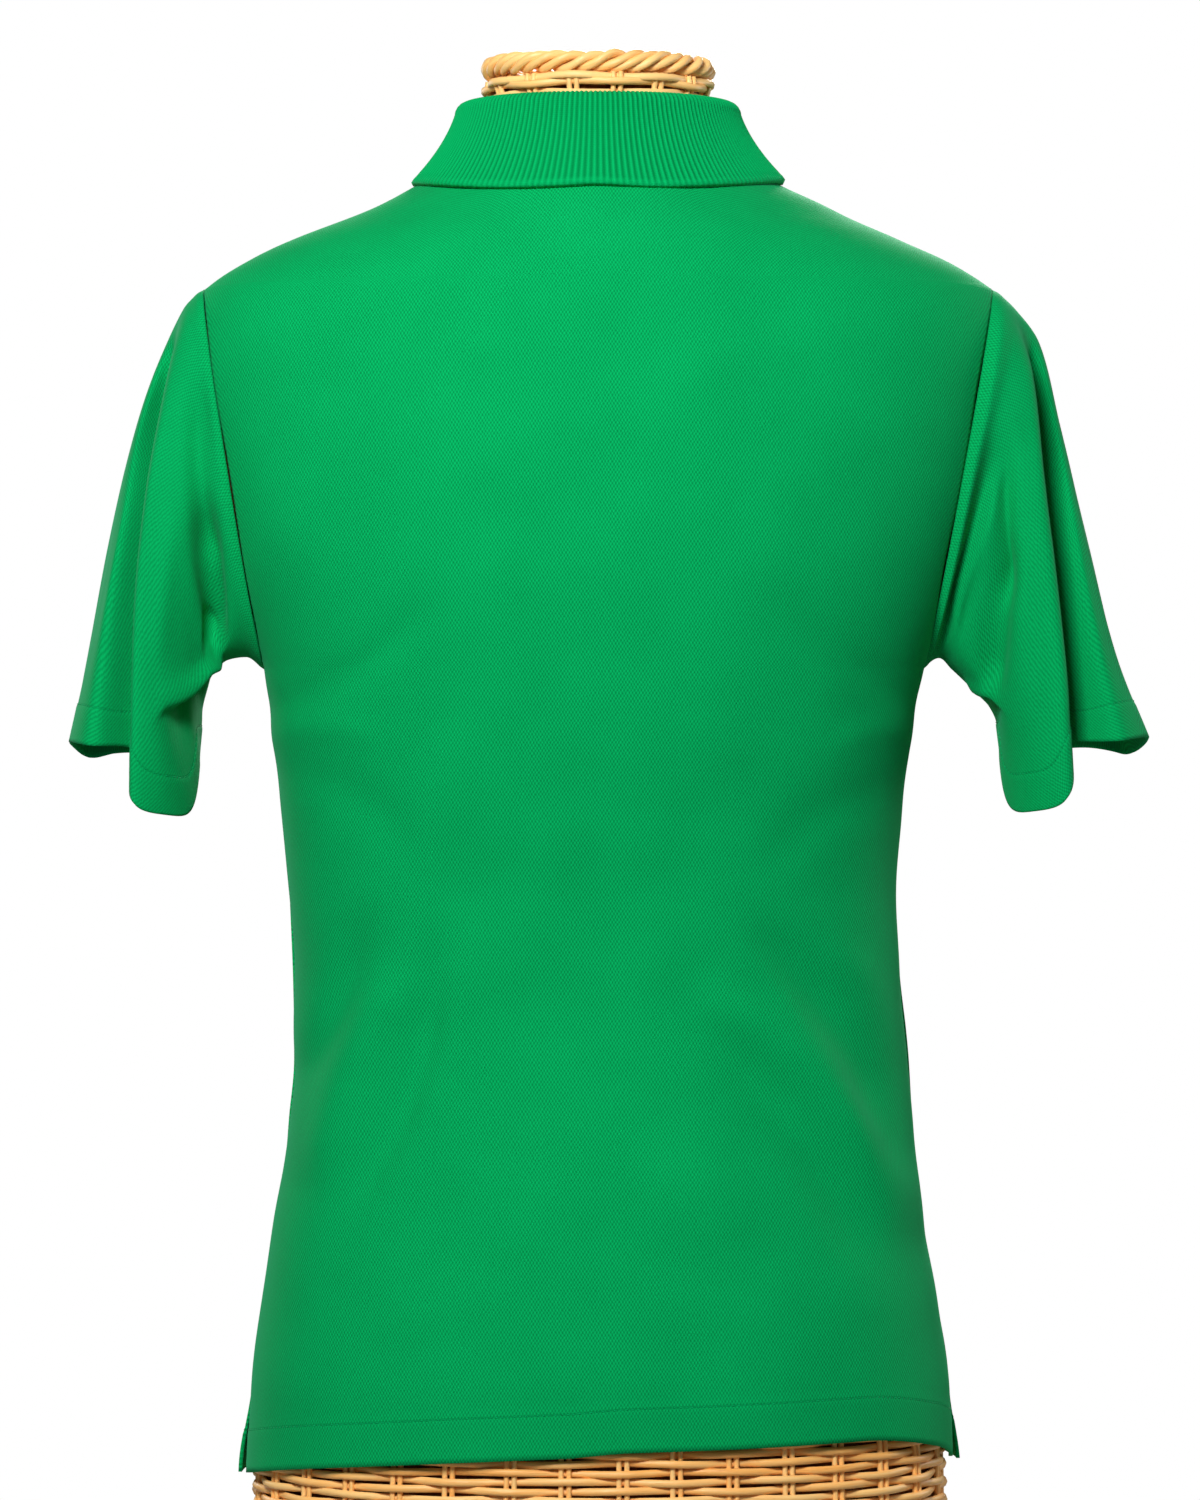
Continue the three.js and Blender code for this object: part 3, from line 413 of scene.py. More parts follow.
# Light creases and hollows of the worn cloth: side, start x and z, end x and z,
# how the line bows, height (a hollow is less than 0) and width.
CREASES = [
    (1, 176, 520, 96, 566, 6, -1.6, 9),
    (1, 172, 505, 118, 505, -4, 1.3, 8),
    (1, 168, 486, 104, 452, -6, -1.4, 12),
    (1, -172, 522, -104, 574, -6, -1.5, 10),
    (1, -166, 508, -128, 500, 3, 1.2, 8),
    (1, -160, 480, -92, 438, 6, -1.3, 13),
    (1, 86, 384, 130, 258, -9, -5.0, 12),
    (1, 76, 376, 118, 256, -9, 1.6, 8),
    (1, 128, 400, 158, 322, -4, -3.2, 9),
    (1, -92, 398, -158, 286, -8, -5.0, 12),
    (1, -80, 386, -146, 270, -8, 1.8, 8),
    (1, -132, 388, -162, 338, -4, 1.5, 9),
    (1, -48, 352, -138, 236, -10, -4.0, 13),
    (1, 24, 318, 66, 236, -4, -1.0, 20),
    (1, 40, 690, 150, 712, 6, 0.9, 18),
    (1, -44, 694, -146, 716, -5, 0.8, 16),
    (1, -20, 214, -96, 196, 6, 0.9, 20),
    (1, 40, 206, 118, 190, 5, 0.8, 17),
    (-1, 174, 516, 100, 560, 6, -1.5, 10),
    (-1, 168, 498, 124, 492, -4, 1.3, 8),
    (-1, -170, 518, -96, 566, -6, -1.6, 9),
    (-1, -164, 500, -120, 488, 4, 1.2, 9),
    (-1, 78, 392, 132, 268, -8, -1.8, 13),
    (-1, -88, 384, -146, 280, -8, -1.9, 12),
    (-1, 130, 402, 158, 344, -4, 1.4, 8),
    (-1, -126, 396, -156, 350, -4, 1.3, 9),
    (-1, 30, 560, 88, 618, 5, -1.0, 16),
    (-1, -34, 548, -84, 600, -5, -1.1, 15),
    (-1, 34, 262, 74, 196, 5, -0.9, 18),
    (-1, -26, 272, -70, 200, 5, -0.9, 16),
]
# Slow waves of the cloth: length across and up, turn and height.
WAVES = [
    (173, 260, 0.4, 0.5),
    (97, 141, 1.9, 0.3),
    (61, 203, 3.1, 0.22),
    (230, 88, 5.2, 0.3),
    (44, 67, 2.2, 0.12),
]


def waves(x, z, side):
    high = 0
    for across, up, turn, tall in WAVES:
        level = np.cos(z / up * 2 * math.pi + 2 * turn)
        high = high + tall * np.sin(x / across * 2 * math.pi + turn + side) * level
    return high


# Meshes
def steps_between(points, axis):
    """The distance along a grid from its start, in one direction."""
    step = np.linalg.norm(np.diff(points, axis=axis), axis=-1)
    start = np.zeros_like(np.take(step, [0], axis))
    return np.concatenate([start, np.cumsum(step, axis)], axis)


def grid_normals(points, round_columns=False):
    if round_columns:
        across = np.roll(points, -1, 1) - np.roll(points, 1, 1)
    else:
        across = np.gradient(points, axis=1)
    return unit(np.cross(across, np.gradient(points, axis=0)))


def ring_faces(rings, sides, first=0):
    """Faces of a closed body of rings, with its two ends, from the number of its first point."""
    faces = []
    for i in range(rings - 1):
        for a in range(sides):
            b = (a + 1) % sides
            faces.append([i * sides + a, i * sides + b, (i + 1) * sides + b, (i + 1) * sides + a])
    faces.append(range(sides)[::-1])
    faces.append([(rings - 1) * sides + a for a in range(sides)])
    return [[first + point for point in face] for face in faces]


def new_object(name, points, faces, material, smooth_faces=True):
    mesh = bpy.data.meshes.new(name)
    mesh.from_pydata((np.asarray(points) * MM).tolist(), [], [list(map(int, face)) for face in faces])
    mesh.polygons.foreach_set("use_smooth", [smooth_faces] * len(mesh.polygons))
    mesh.materials.append(material)
    thing = bpy.data.objects.new(name, mesh)
    bpy.context.collection.objects.link(thing)
    return thing


def set_uv(thing, values):
    """One pair of numbers for each corner of each face, in millimetres."""
    layer = thing.data.uv_layers.new(name="cloth")
    layer.data.foreach_set("uv", np.asarray(values, np.float32).ravel())


def set_number(thing, name, values):
    attribute = thing.data.attributes.new(name, "FLOAT", "POINT")
    attribute.data.foreach_set("value", np.asarray(values, np.float32).ravel())


def shell(name, good, inner, uv, material, round_columns=False, skips=None, numbers=None):
    """A closed thin piece between two grids of points. uv has one more column on a round piece."""
    rows, cols = good.shape[:2]
    wide = cols if round_columns else cols - 1
    i, j = np.meshgrid(np.arange(rows - 1), np.arange(wide), indexing="ij")
    i, j = i.ravel(), j.ravel()
    if skips is not None:
        keep = ~skips(i, j)
        i, j = i[keep], j[keep]
    next_j = (j + 1) % cols
    corners = np.stack([i * cols + j, i * cols + next_j, (i + 1) * cols + next_j, (i + 1) * cols + j], -1)
    uv_corners = np.stack([uv[i, j], uv[i, j + 1], uv[i + 1, j + 1], uv[i + 1, j]], 1)
    total = rows * cols
    edges = {}
    for face in corners.tolist():
        for a, b in zip(face, face[1:] + face[:1]):
            edges[(a, b)] = True
    rim = [(a, b) for a, b in edges if (b, a) not in edges]
    faces = corners.tolist() + (corners[:, ::-1] + total).tolist()
    uv_all = [uv_corners.reshape(-1, 2), uv_corners[:, ::-1].reshape(-1, 2)]
    flat_uv = (uv[:, :-1] if round_columns else uv).reshape(-1, 2)
    for a, b in rim:
        faces.append([b, a, a + total, b + total])
        uv_all.append(flat_uv[[b, a, a, b]])
    points = np.concatenate([good.reshape(-1, 3), inner.reshape(-1, 3)])
    used = np.unique(np.array(corners).ravel())
    used = np.concatenate([used, used + total])
    place = np.full(2 * total, -1)
    place[used] = np.arange(len(used))
    corner_uv = np.concatenate(uv_all).reshape(-1, 4, 2)
    corner = np.array(faces)
    a, b, c, d = [points[corner[:, k]] for k in range(4)]
    if np.sum(a * np.cross(b, c)) + np.sum(a * np.cross(c, d)) < 0:
        corner, corner_uv = corner[:, ::-1], corner_uv[:, ::-1]
    thing = new_object(name, points[used], place[corner], material)
    set_uv(thing, corner_uv)
    for key, values in (numbers or {}).items():
        both = np.concatenate([values.ravel(), values.ravel()])
        set_number(thing, key, both[used])
    return thing


HEM_STEP = 0.45  # the hem's turned-up layer stands out this far
SEAM_ROLL = 0.25  # the cloth turns in at a seam
FAR = 30  # a distance at which a seam no longer shows


def make_panel(name, side, material):
    places = panel_places(side)
    plain = cloth_points(places, side, 0)
    up = steps_between(plain, 0)
    across = steps_between(plain, 1)
    to_side = np.minimum(across, across[:, -1:] - across)
    above_armpit = smooth((places[..., 2] - ARMPIT_Z + 4) / 8)
    relief = HEM_STEP * (1 - smooth((up - BODY_HEM) / 1.6))
    relief = relief - SEAM_ROLL * (1 - smooth(to_side / 3.5)) * above_armpit
    good = cloth_points(places, side, 0, relief)
    inner = cloth_points(places, side, -CLOTH)
    middle = HALF_COLUMNS + MIDDLE_COLUMNS
    uv = np.stack([across - across[:, middle][:, None], up + places[:1, :, 2]], -1)

    def in_slit(i, j):
        return (side < 0) & (i >= SLIT_ROW) & (np.abs(j + 0.5 - middle) < MIDDLE_COLUMNS)

    numbers = {
        "from_hem": up - BODY_HEM,
        "from_seam": np.minimum(to_side, FAR) + FAR * (1 - above_armpit),
        "from_top": np.minimum(up[-1:] - up, FAR),
    }
    thing = shell(name, good, inner, uv, material, skips=in_slit, numbers=numbers)
    return thing, good, up


# Sleeves
# A sleeve's sections: how far along, the top's x and z, the underside's x and z, depth behind and
# in front.
SLEEVE_LEFT = [
    (0, 214.5, SHOULDER_Z, 182, ARMPIT_Z, 54, 54),
    (0.06, 226, 738, 186, 544.5, 54, 54),
    (0.15, 237, 716, 192, 547.5, 54, 54),
    (0.33, 252, 673, 202, 546, 54, 54),
    (0.585, 268, 608, 212, 533, 54, 54),
    (0.81, 279.5, 551, 215, 512, 55, 55),
    (1, 290, 502, 217, 489, 55, 56),
]
SLEEVE_RIGHT = [
    (0, -214.5, SHOULDER_Z, -177, ARMPIT_Z, 54, 54),
    (0.06, -227, 738, -181, 545, 54, 54),
    (0.15, -241, 719, -186, 547, 54, 54),
    (0.33, -252, 674, -193, 541, 54, 54),
    (0.585, -268, 608, -207, 527, 54, 54),
    (0.81, -283, 549, -217, 512, 55, 55),
    (1, -300, 505, -220, 491, 55, 56),
]
# Folds round a sleeve: angle at the armhole and at the cuff, how early it gets there, width,
# squareness, where it starts and is full, and how far it moves the cloth outward, to the back and down.
FOLDS_LEFT = [
    (-14, 78, 0.5, 13, 2, 0.02, 0.32, -11, -30, -2),
    (4, 99, 0.5, 12, 2, 0.04, 0.35, 3, 4, 0),
    (80, 124, 1, 36, 4, 0.4, 1, 0, 3, 30),
    (112, 150, 1, 24, 2, 0.04, 0.3, -3, -10, 0),
    (355, 345, 1, 38, 2, 0.15, 1, 0, -24, 0),
    (325, 322, 1, 30, 2, 0.5, 1, 0, 0, 8),
    (300, 292, 1, 20, 2, 0.1, 0.9, 0, 15, 0),
]
FOLDS_RIGHT = [
    (6, 80, 0.75, 13, 2, 0.02, 0.32, -12, -28, -2),
    (24, 103, 0.75, 12, 2, 0.04, 0.35, 3, 4, 0),
    (80, 126, 1, 32, 4, 0.4, 1, -1, 3, 30),
    (112, 152, 1, 22, 2, 0.04, 0.3, -3, -10, 0),
    (0, 10, 1, 34, 2, 0.2, 1, 0, 6, 0),
    (330, 326, 1, 30, 2, 0.5, 1, 0, -6, 9),
    (296, 300, 1, 21, 2, 0.1, 0.9, 0, 13, 0),
]
SLEEVE_COLUMNS = 240
SLEEVE_ROWS = 124
ROUND_BY = 0.45
SLEEVE_SLANT = math.radians(18)
SLEEVE_LONG = 150  # millimetres, which weigh as much as degrees round it
LAP_BOW = 7


def sleeve_points(sections, folds, angle, along):
    """Points of a sleeve's good side. Angles run round from the top (0) over the back (90)."""
    top_x, top_z, under_x, under_z, back, front = [table_curve(sections, i)(along) for i in range(1, 7)]
    up = (1 + np.cos(angle)) / 2
    side = np.where(np.sin(angle) >= 0, 1, -1)
    share = mix(armhole_share(np.cos(angle)), np.abs(np.sin(angle)), smooth(along / ROUND_BY))
    deep = np.where(side > 0, back, front) * share
    x = mix(under_x, top_x, up)
    y = side * deep
    z = mix(under_z, top_z, up)
    for at0, at1, early, wide, flat, starts, full, out, backward, down in folds:
        middle = mix(at0, at1, along**early)
        off = (np.degrees(angle) - middle + 540) % 360 - 180
        strength = np.exp(-np.abs(off / wide) ** flat) * smooth((along - starts) / (full - starts))
        x = x + np.sign(sections[0][1]) * out * strength
        y = y + backward * strength
        z = z - down * strength
    return np.stack([x, y, z], -1)


def make_sleeve(name, sections, folds, marks, laps, material):
    along = np.linspace(0, 1, SLEEVE_ROWS)[:, None] ** 1.15
    # The columns start at the seam under the arm.
    along, angle = np.broadcast_arrays(along, math.pi + turns(SLEEVE_COLUMNS))
    good = sleeve_points(sections, folds, angle, along)
    hand = np.sign(sections[0][1])
    top_x, top_z, under_x, under_z = sections[0][1:5]
    away = unit(np.array([top_z - under_z, 0, under_x - top_x]) * hand)
    good[0] += away * SEWN
    normals = grid_normals(good, True)
    middle = good.mean(axis=1, keepdims=True)
    if np.sum(normals * (good - middle)) < 0:
        normals = -normals
    long = steps_between(good, 0)
    closed = np.concatenate([good, good[:, :1]], 1)
    around = steps_between(closed, 1)
    relief = sleeve_creases(np.degrees(angle), along, marks)
    relief = relief + HEM_STEP * smooth((long - (long[-1:] - SLEEVE_HEM)) / 1.6)
    relief = relief * smooth(long / 8) + sleeve_lap(np.degrees(angle), along, laps)
    relief = relief + 0.6 * bell((long - 4) / 3.5) - SEAM_ROLL * (1 - smooth(long / 3.5))
    good = good + normals * relief[..., None]
    inward = normals.copy()
    inward[0] = unit(normals[0] - (normals[0] @ away)[:, None] * away)
    inner = good - inward * CLOTH
    at_back = around[:, SLEEVE_COLUMNS * 3 // 4][:, None]
    run = np.concatenate([long, long[:, :1]], 1)
    # The knit's rows lie level where the sleeve hangs aslant.
    across = (around - at_back) * math.cos(SLEEVE_SLANT) - run * math.sin(SLEEVE_SLANT)
    down = (around - at_back) * math.sin(SLEEVE_SLANT) + run * math.cos(SLEEVE_SLANT)
    uv = np.stack([across, down], -1)
    to_cuff = long[-1:] - long
    numbers = {
        "from_hem": to_cuff - SLEEVE_HEM,
        "from_seam": np.minimum(long, FAR),
        "from_top": np.minimum(around[:, :-1], around[:, -1:] - around[:, :-1]),
    }
    thing = shell(name, good, inner, uv, material, round_columns=True, numbers=numbers)
    return thing, good, long, normals


def beside_mark(line, degrees, along):
    """The same as beside, on a sleeve, for a line given by the angle and place of its ends."""
    a0, s0, a1, s1 = line
    turned = (degrees - a0 + 540) % 360 - 180
    return beside(a1 - a0, (s1 - s0) * SLEEVE_LONG, turned, (along - s0) * SLEEVE_LONG)


def sleeve_creases(degrees, along, marks):
    """Light creases: angle and place where one starts and ends, height, and width in degrees."""
    high = np.zeros(np.shape(degrees))
    for *line, tall, wide in marks:
        share, off = beside_mark(line, degrees, along)
        high += tall * bell(off / wide) * ends(share, MARK_ENDS)
    return high


def sleeve_lap(degrees, along, laps):
    """Folds that lap over: the cloth drops past a line and comes back softly. Angle and place of
    the line's two ends, drop, width of the drop and of the way back, in degrees."""
    high = np.zeros(np.shape(degrees))
    for *line, drop, steep, soft in laps:
        share, off = beside_mark(line, degrees, along)
        off = -off - bowed(LAP_BOW, share)
        past = smooth(off / steep) * np.exp(-np.maximum(off, 0) / soft)
        before = bell((off + steep * 0.6) / (steep * 1.6))
        strength = smooth((share + 0.1) / 0.3) * smooth((1.2 - share) / 0.7)
        high += (0.35 * before - past) * drop * strength
    return high


LAPS_LEFT = [(170, 0.4, 112, 0.72, 17, 4, 30)]
LAPS_RIGHT = [(176, 0.5, 136, 0.68, 7, 5, 24)]
MARKS_LEFT = [
    (62, 0.06, 108, 0.18, -6, 9),
    (98, 0.15, 142, 0.36, -12, 10),
    (132, 0.4, 152, 0.32, -10, 12),
    (84, 0.3, 100, 0.62, 1.8, 9),
    (22, 0.12, 30, 0.8, -1.4, 9),
    (352, 0.3, 356, 0.95, 1.2, 10),
    (14, 0.55, 8, 1, -1.2, 8),
    (200, 0.2, 236, 0.7, -2.2, 11),
    (250, 0.25, 262, 0.9, 1.6, 10),
    (214, 0.5, 190, 0.9, 1.4, 9),
    (282, 0.1, 276, 0.6, -1.2, 9),
]
MARKS_RIGHT = [
    (30, 0.03, 150, 0.04, 3, 4),
    (80, 0.09, 152, 0.12, -8, 7),
    (78, 0.14, 104, 0.4, -8, 9),
    (98, 0.32, 140, 0.6, -9, 10),
    (72, 0.36, 94, 0.8, 1.3, 10),
    (24, 0.1, 34, 0.74, -1.3, 9),
    (346, 0.35, 350, 0.92, 1.3, 9),
    (10, 0.5, 4, 0.98, -1.2, 9),
    (196, 0.24, 226, 0.66, -2.0, 10),
    (246, 0.3, 268, 0.86, 1.5, 11),
    (216, 0.56, 194, 0.94, 1.3, 8),
]


# Collar
RIBS = 180
RIB_STEPS = 6
RIB_HIGH = 0.9
ROLL = 6
ROLL_WIDE, ROLL_BACK, ROLL_FRONT = 71.5, 61, 63
ROLL_Z, ROLL_FRONT_Z = 843, 800
ROLL_FALLS_FROM = 0.45
EDGE_WIDE, EDGE_BACK = 100.5, 81
COLLAR_LIFT = 2.6
FALL_BEND = 3
POINT_X, POINT_Y, POINT_Z = 37, -88, 757
POINT_FROM = 0.5
POINT_BENDS = (0.7, 3, 1.5)  # how soon the edge turns to the point in x, y and z
REST_Y = -60
END_GAP = 1.6
COLLAR_ABOVE = 0.45
STAND_STEPS, ROLL_STEPS, FALL_STEPS = 7, 10, 22
WELT = 3.2  # the finished edge of the fall


def half_ellipse(wide, back, front, angle):
    deep = np.where(np.cos(angle) >= 0, back, front)
    return np.stack([wide * np.sin(angle), deep * np.cos(angle), np.zeros_like(angle)], -1)


def by_side(function, y, *rest):
    """A surface function's values: those of the back where y is not less than 0, or the front's."""
    back, front = function(*rest, 1), function(*rest, -1)
    return np.where((y >= 0).reshape(-1, *[1] * (back.ndim - 1)), back, front)


def make_collar(name, material):
    turn = np.linspace(-1, 1, RIBS * RIB_STEPS + 1)
    angle = turn * (math.pi - math.asin(END_GAP / NECKLINE_WIDE))
    foot = half_ellipse(NECKLINE_WIDE, NECKLINE_BACK, NECKLINE_FRONT, angle)
    foot[:, 2] = by_side(height_over, foot[:, 1], foot[:, 0], foot[:, 1]) + COLLAR_ABOVE
    foot[:, 1] += np.sign(foot[:, 1]) * SEAM / 2
    middle = half_ellipse(ROLL_WIDE, ROLL_BACK, ROLL_FRONT, angle)
    fallen = smooth((np.abs(turn) - ROLL_FALLS_FROM) / (1 - ROLL_FALLS_FROM))
    middle[:, 2] = mix(ROLL_Z, ROLL_FRONT_Z, fallen)
    away = unit(middle * [1, 1, 0])
    edge = half_ellipse(EDGE_WIDE, EDGE_BACK, EDGE_BACK, angle)
    forward = smooth((np.abs(turn) - POINT_FROM) / (1 - POINT_FROM))
    across = mix(np.maximum(np.abs(edge[:, 0]), POINT_X), POINT_X, forward ** POINT_BENDS[0])
    edge[:, 0] = np.where(forward > 0, np.sign(turn) * across, edge[:, 0])
    edge[:, 1] = mix(edge[:, 1], POINT_Y, forward ** POINT_BENDS[1])
    rest_y = np.maximum(edge[:, 1], REST_Y)
    rest_z = by_side(height_over, rest_y, edge[:, 0], rest_y)
    edge[:, 2] = mix(rest_z, POINT_Z, forward ** POINT_BENDS[2])
    side = np.where(edge[:, 1] >= 0, 1, -1)
    cover = side * by_side(depth_at, edge[:, 1], edge[:, 0], edge[:, 2])
    edge[:, 1] = side * np.maximum(side * edge[:, 1], cover)
    edge_out = by_side(outward, edge[:, 1], edge[:, 0], edge[:, 1], edge[:, 2])
    edge = edge + edge_out * COLLAR_LIFT
    stand = middle - away * ROLL
    foot_in = foot - away * COLLAR_CLOTH
    top = middle + away * ROLL
    fall_out = unit(away + edge_out)
    half = (top + edge) / 2 - away * FALL_BEND
    bend = 2 * half - (top + edge) / 2
    rows, outs, ribbed = [], [], []
    for t in np.linspace(0, 1, STAND_STEPS, endpoint=False):
        rows.append(mix(foot_in, stand, t))
        outs.append(-away)
        ribbed.append(0.7 * min(1, t * 3))
    for degrees in np.linspace(180, 0, ROLL_STEPS, endpoint=False):
        out = away * math.cos(math.radians(degrees)) + UP * math.sin(math.radians(degrees))
        rows.append(middle + out * ROLL)
        outs.append(out)
        ribbed.append(mix(0.7, 1, 1 - degrees / 180))
    for t in np.linspace(0, 1, FALL_STEPS) ** 0.9:
        rows.append((1 - t) ** 2 * top + 2 * t * (1 - t) * bend + t * t * edge)
        out = mix(mix(away, fall_out, min(1, 2 * t)), edge_out, max(0, 2 * t - 1))
        outs.append(unit(out))
        ribbed.append(1)
    plain = np.array(rows)
    outs = np.array(outs)
    down = steps_between(plain, 0)
    to_edge = down[-1:] - down
    rib = RIB_HIGH * (0.5 - 0.5 * np.cos(2 * math.pi * np.arange(len(turn)) / RIB_STEPS)) ** 0.8
    in_welt = 1 - smooth((to_edge - WELT) / 0.8)
    relief = np.array(ribbed)[:, None] * rib[None, :] * (1 - 0.55 * in_welt)
    relief += 0.5 * in_welt * np.sin(np.clip(to_edge / WELT, 0, 1) * math.pi) ** 0.7
    relief -= 0.35 * bell((to_edge - WELT - 0.5) / 0.6)
    wobble = 0.5 * np.sin(turn * 9.3 + 1.1) + 0.35 * np.sin(turn * 23.7 + 0.3)
    grow = np.array([0] * (STAND_STEPS + ROLL_STEPS) + list(np.linspace(0, 1, FALL_STEPS)))
    relief = relief + np.maximum(0, wobble[None, :] + 0.4) * grow[:, None]
    good = plain + outs * relief[..., None]
    inner = plain - outs * COLLAR_CLOTH
    across = steps_between(plain, 1)
    uv = np.stack([across, down], -1)
    # Painted shade: the tone is darker in the troughs between the ribs and in the groove above the
    # finished edge.
    tone = np.broadcast_to(rib / RIB_HIGH, down.shape) * (1 - 0.4 * in_welt) + 0.4 * in_welt
    tone = tone * (1 - 0.7 * bell((to_edge - WELT - 0.5) / 0.6))
    return shell(name, good, inner, uv, material, numbers={"rib": tone})


# Placket
STRIP_COLUMNS, STRIP_ROWS = 12, 64
STRIP_TRIM = 0.45
CAD_SHOULDER_ROWS = 6


def strip_top(x):
    """Where a strip ends under the neckline, at a place across."""
    heights = []
    for i in (CAD_SHOULDER_ROWS, CAD_SHOULDER_ROWS - 1):
        share = i / CAD_SHOULDER_ROWS
        neckline = -NECKLINE_FRONT * np.sqrt(1 - (x / NECKLINE_WIDE) ** 2)
        y = mix(depth_at(x, np.full(np.shape(x), SHOULDER_Z), -1), neckline, share)
        heights.append(height_over(x, y, -1))
    return mix(*heights, STRIP_TRIM)


def make_strip(name, half, out, thick, material, stitched):
    x = np.linspace(half, -half, STRIP_COLUMNS + 1)
    top = strip_top(np.clip(x, -PLACKET_HALF, PLACKET_HALF))
    share = np.linspace(0, 1, STRIP_ROWS + 1)[:, None]
    z = mix(PLACKET_FOOT_Z + SEAM, top[None, :], share)
    x = np.broadcast_to(x, z.shape)
    places = np.stack([x, depth_at(x, z, -1), z], -1)
    good = cloth_points(places, -1, out)
    inner = cloth_points(places, -1, out - thick)
    up = steps_between(good, 0)
    across = steps_between(good, 1)
    to_side = np.minimum(across, across[:, -1:] - across)
    far = np.full(up.shape, float(FAR))
    uv = np.stack([across - across[:, -1:] / 2, up + PLACKET_FOOT_Z], -1)
    numbers = {"from_hem": far, "from_seam": far, "from_top": far}
    if stitched:
        numbers.update(from_seam=to_side, from_top=up)
    return shell(name, good, inner, uv, material, numbers=numbers)


# Stitches
STITCH_APART, STITCH_LONG = 3.1, 2.3
STITCH_THICK = 0.32
STITCH_HIGH = 0.12  # its middle lies this far above the cloth
STITCH_RING = [(1, 0), (0.2, 0.75), (-0.2, 0.75), (-1, 0), (0, -0.5)]


def between(at, run, points):
    """The point of a line at a distance from its start."""
    return np.array([np.interp(at, run, points[:, axis]) for axis in range(3)])


def make_stitches(name, lines, material):
    """Small threads along lines. A line is its points and the ways out of the cloth."""
    points, faces = [], []
    half = STITCH_LONG / 2
    for path, out in lines:
        run = steps_between(path, 0)
        count = int(run[-1] / STITCH_APART)
        for k in range(count):
            at = (k + 0.5) * run[-1] / count
            start, middle, end = [between(at + off, run, path) for off in (-half, 0, half)]
            up = unit(between(at, run, out))
            across = np.cross(unit(end - start), up)
            faces += ring_faces(3, len(STITCH_RING), len(points))
            for place, size, lift in ((start, 0.35, -0.1), (middle, 1, STITCH_HIGH), (end, 0.35, -0.1)):
                for a, b in STITCH_RING:
                    side = across * a * STITCH_THICK * size
                    points.append(place + side + up * (b * STITCH_THICK * size + lift))
    return new_object(name, np.array(points), faces, material)


def at_distance(points, run, distance):
    """The points of a grid's columns where the distance run from their start has a value."""
    return np.array([between(distance, run[:, j], points[:, j]) for j in range(points.shape[1])])


# Wicker
NECK_FROM_Z = 814  # the neck's own sections take over from here to the first of them


def form_surface(z, angle):
    """A point of the form's surface and its way out, from the base to the top of the neck."""
    z, angle = np.broadcast_arrays(np.asarray(z, float), np.asarray(angle, float))
    side = np.where(np.sin(angle) >= 0, 1, -1)
    left = np.cos(angle) >= 0
    low = np.minimum(z, NECK_FROM_Z)
    point = np.empty(z.shape + (3,))
    for s in (1, -1):
        mine = side == s
        square, deep, wide, _ = outline(low[mine], left[mine], s)
        x = wide * power(np.cos(angle[mine]), 2 / square)
        y = deep * power(np.sin(angle[mine]), 2 / square)
        share = np.abs(y / deep)
        gap_side, gap_back, gap_front = [c(low[mine]) for c in clear_curves]
        gap = mix(gap_side, gap_back if s > 0 else gap_front, share)
        n = outward(x, y, low[mine], s)
        flat = low[mine] < 1
        n[flat, 2] = 0
        point[mine] = np.stack([x, y, low[mine]], -1) - unit(n) * gap[:, None]
    neck_z = NECK[0][0]
    wide, back, front = [c(np.maximum(z, neck_z)) for c in neck_curves]
    deep = np.where(side > 0, back, front)
    neck = np.stack([wide * np.cos(angle), deep * np.sin(angle), z], -1)
    on_neck = np.clip((z - NECK_FROM_Z) / (neck_z - NECK_FROM_Z), 0, 1)
    return mix(point, neck, on_neck[..., None])


LEVEL_STEP, TURN_STEP = 2.0, 0.01


def form_frame(z, angle):
    """Points of the form's surface with the way out and the way up."""
    above = form_surface(np.minimum(z + LEVEL_STEP, NECK_TOP_Z), angle)
    up = above - form_surface(np.maximum(z - LEVEL_STEP, 0), angle)
    round_way = form_surface(z, angle + TURN_STEP) - form_surface(z, angle - TURN_STEP)
    return form_surface(z, angle), unit(np.cross(round_way, up)), unit(up)


def tube(path, out, up, half_out, half_up, sides=6, closed=True):
    """A strand along a path. Gives points, faces and the run along the path for each corner."""
    n = len(path)
    turn = turns(sides)
    ring = path[:, None] + out[:, None] * (half_out * np.cos(turn))[None, :, None]
    ring = ring + up[:, None] * (half_up * np.sin(turn))[None, :, None]
    run = steps_between(path, 0)
    faces, uv = [], []
    for i in range(n if closed else n - 1):
        k = (i + 1) % n
        end = run[k] if k else run[-1] + 4
        for m in range(sides):
            q = (m + 1) % sides
            faces.append([i * sides + m, k * sides + m, k * sides + q, i * sides + q])
            uv.append([(run[i], m), (end, m), (end, m + 1), (run[i], m + 1)])
    if not closed:
        for first, order, place in ((0, 1, 0), ((n - 1) * sides, -1, run[-1])):
            faces.append([first + m for m in range(sides)][::order])
            uv.append([(place, m) for m in range(sides)])
    return ring.reshape(-1, 3), faces, uv


class Strands:
    """Collects strands into one mesh, each with a shade of its own: a tone that varies at random, plus
    any painted light.
    """

    def __init__(self):
        self.points, self.faces, self.uv, self.shade, self.count = [], [], [], [], 0

    def add(self, shade, *strand, **kind):
        points, faces, uv = tube(*strand, **kind)
        self.points.append(points)
        self.faces += [[v + self.count for v in face] for face in faces]
        self.uv += [(u + shade * 777, v) for corners in uv for u, v in corners]
        self.shade += [shade] * len(points)
        self.count += len(points)

    def make(self, name, material):
        thing = new_object(name, np.concatenate(self.points), self.faces, material)
        set_uv(thing, self.uv)
        set_number(thing, "shade", self.shade)
        return thing


def uneven(k):
    """A fixed number between 0 and 1 for each place in a row."""
    return (math.sin(k * 12.9898 + 4.1) * 43758.5453) % 1


